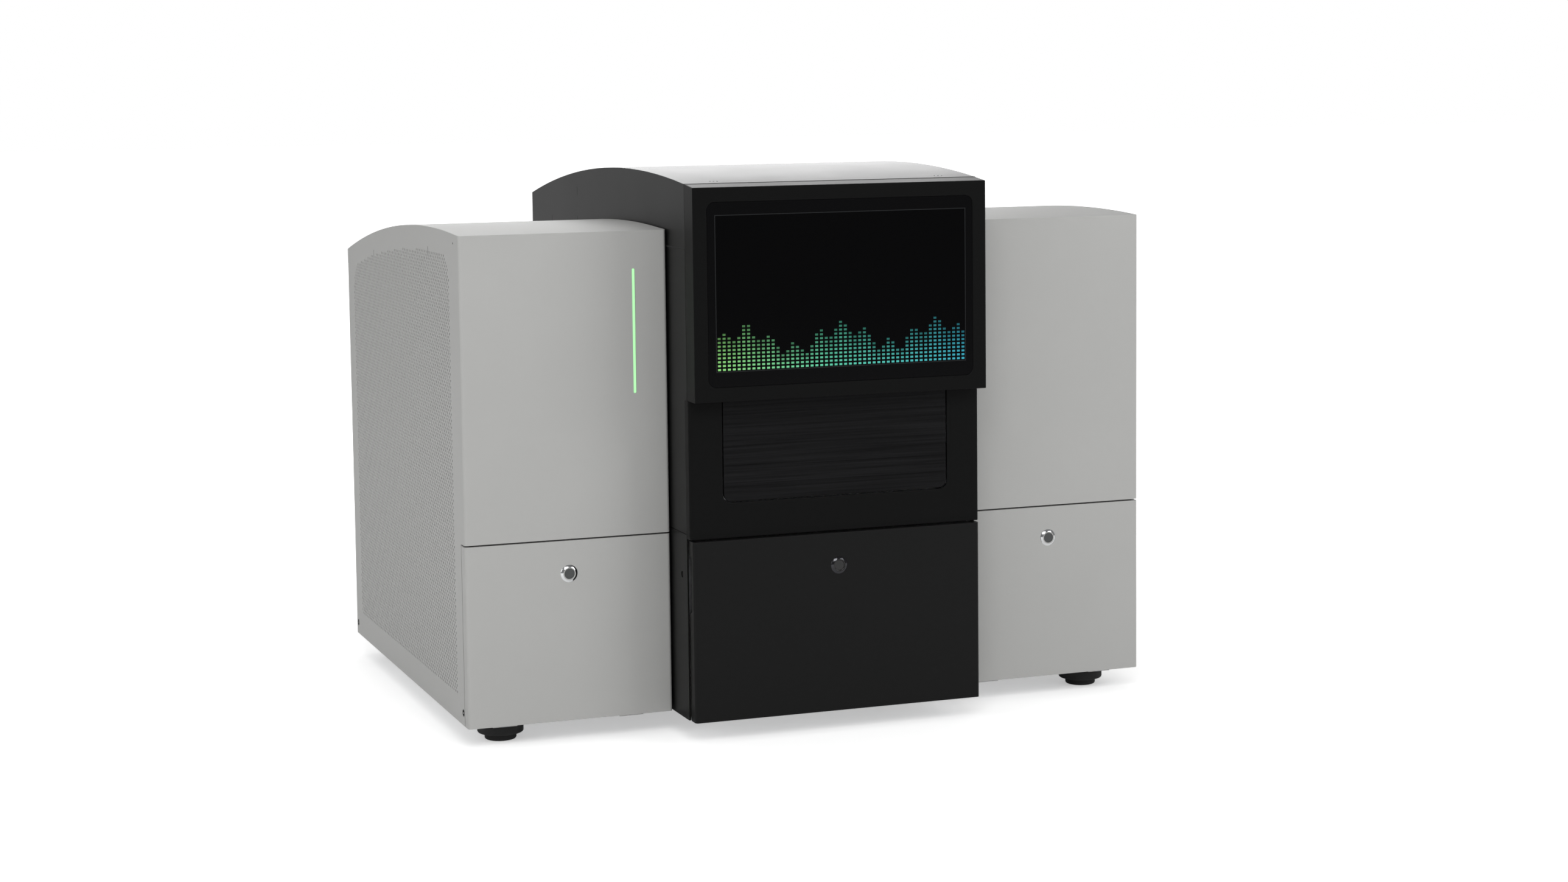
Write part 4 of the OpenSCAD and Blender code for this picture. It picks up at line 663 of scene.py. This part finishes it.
def paper_floor():
    """A wide pale floor that is white to the camera and keeps the instrument's shadow."""
    sheet = bmesh.new()
    bmesh.ops.create_grid(sheet, x_segments=1, y_segments=1, size=FLOOR_HALF)
    mesh = bpy.data.meshes.new("studio_floor")
    sheet.to_mesh(mesh)
    sheet.free()
    floor = bpy.data.objects.new("studio_floor", mesh)
    bpy.context.scene.collection.objects.link(floor)
    paper = bpy.data.materials.new("studio_paper")
    paper.use_nodes = True
    g = Graph(paper.node_tree)
    g.tree.nodes.clear()
    seen = g.add("ShaderNodeLightPath")
    mirrored = g.math("MAXIMUM", seen.outputs["Is Glossy Ray"], seen.outputs["Is Transmission Ray"])
    depth = g.add("ShaderNodeSeparateXYZ",
                  inputs={0: g.add("ShaderNodeTexCoord").outputs["Object"]}).outputs["Y"]
    behind = g.add("ShaderNodeMapRange", inputs={"Value": depth, "From Min": PAPER_NEAR,
                                                 "From Max": PAPER_FAR, "To Min": 0.0,
                                                 "To Max": 1.0}).outputs[0]
    rays = g.math("MULTIPLY_ADD", mirrored, g.math("MULTIPLY", behind, PAPER_MIRRORED),
                  seen.outputs["Is Camera Ray"])
    away = g.add("ShaderNodeVectorMath", operation="LENGTH",
                 inputs={0: g.add("ShaderNodeTexCoord").outputs["Object"]}).outputs["Value"]
    glow = g.add("ShaderNodeMapRange", inputs={"Value": away, "From Min": SHADE_NEAR,
                                               "From Max": SHADE_FAR, "To Min": SHADE_KEEP,
                                               "To Max": 1.0}).outputs[0]
    fibre = g.add("ShaderNodeTexNoise", inputs={"Vector": g.add("ShaderNodeTexCoord").outputs["Object"],
                                                "Scale": FIBRE_SCALE}).outputs["Fac"]
    paper_colour = g.ramp(fibre, [(0.0, (0.90, 0.90, 0.90)), (1.0, (0.94, 0.94, 0.94))])
    lit = g.add("ShaderNodeBsdfDiffuse", inputs={"Color": paper_colour})
    white = g.add("ShaderNodeEmission", inputs={"Strength": g.math("MULTIPLY", rays, glow)})
    both = g.add("ShaderNodeAddShader", inputs={0: lit.outputs[0], 1: white.outputs[0]})
    g.add("ShaderNodeOutputMaterial", inputs={"Surface": both.outputs[0]})
    mesh.materials.append(paper)


def studio_air():
    """A white surround, which glossy surfaces see dimmer in front of the instrument than behind it."""
    world = bpy.data.worlds.new("studio_air")
    bpy.context.scene.world = world
    world.use_nodes = True
    w = Graph(world.node_tree)
    w.tree.nodes.clear()
    path = w.add("ShaderNodeLightPath")
    toward = w.add("ShaderNodeSeparateXYZ",
                   inputs={0: w.add("ShaderNodeTexCoord").outputs["Generated"]}).outputs
    heading = w.math("MULTIPLY_ADD", toward["X"], BACKDROP_TURN, toward["Y"])
    shown = w.add("ShaderNodeMapRange", inputs={"Value": heading, "From Min": BACKDROP_FROM,
                                                "From Max": BACKDROP_TO, "To Min": ROOM_GLOW,
                                                "To Max": BACKDROP_GLOW}).outputs[0]
    glossy = w.math("MAXIMUM", path.outputs["Is Glossy Ray"], path.outputs["Is Transmission Ray"])
    unseen = w.math("SUBTRACT", 1.0, w.math("MAXIMUM", glossy, path.outputs["Is Camera Ray"]))
    strength = w.math("ADD", path.outputs["Is Camera Ray"],
                      w.math("ADD", w.math("MULTIPLY", glossy, shown), w.math("MULTIPLY", unseen, AIR)))
    air = w.add("ShaderNodeBackground", inputs={"Color": (1, 1, 1, 1), "Strength": strength})
    w.add("ShaderNodeOutputWorld", inputs={"Surface": air.outputs[0]})


CAMERA_PLACE = (-1.266, -3.582, 0.828)
CAMERA_AZIMUTH, CAMERA_ELEVATION, CAMERA_ROLL = -20.36, 5.41, -0.65   # in degrees
SENSOR, FOCAL_LENGTH, SHIFT_UP = 36.0, 64.26, -0.0662   # millimetres, and a share of the sensor's width
FAR_LIMIT = 100.0


def camera():
    """A long lens, a little above the instrument and to its left."""
    az, el, roll = (math.radians(a) for a in (CAMERA_AZIMUTH, CAMERA_ELEVATION, CAMERA_ROLL))
    back = Vector((math.sin(az) * math.cos(el), -math.cos(az) * math.cos(el), math.sin(el)))
    right = (-back).cross(Vector((0, 0, 1))).normalized()
    up = right.cross(-back)
    r = math.cos(roll) * right + math.sin(roll) * up
    u = -math.sin(roll) * right + math.cos(roll) * up
    eye = bpy.data.cameras.new("studio_camera")
    eye.sensor_width = SENSOR
    eye.lens = FOCAL_LENGTH
    eye.shift_y = SHIFT_UP
    eye.clip_end = FAR_LIMIT
    holder = bpy.data.objects.new("studio_camera", eye)
    bpy.context.scene.collection.objects.link(holder)
    turn = Matrix((r, u, back)).transposed().to_4x4()
    holder.matrix_world = Matrix.Translation(CAMERA_PLACE) @ turn
    bpy.context.scene.camera = holder


paper_floor()
studio_air()
for lamp in LAMPS:
    area_light(*lamp)
camera()
bpy.context.scene.view_settings.view_transform = "Standard"
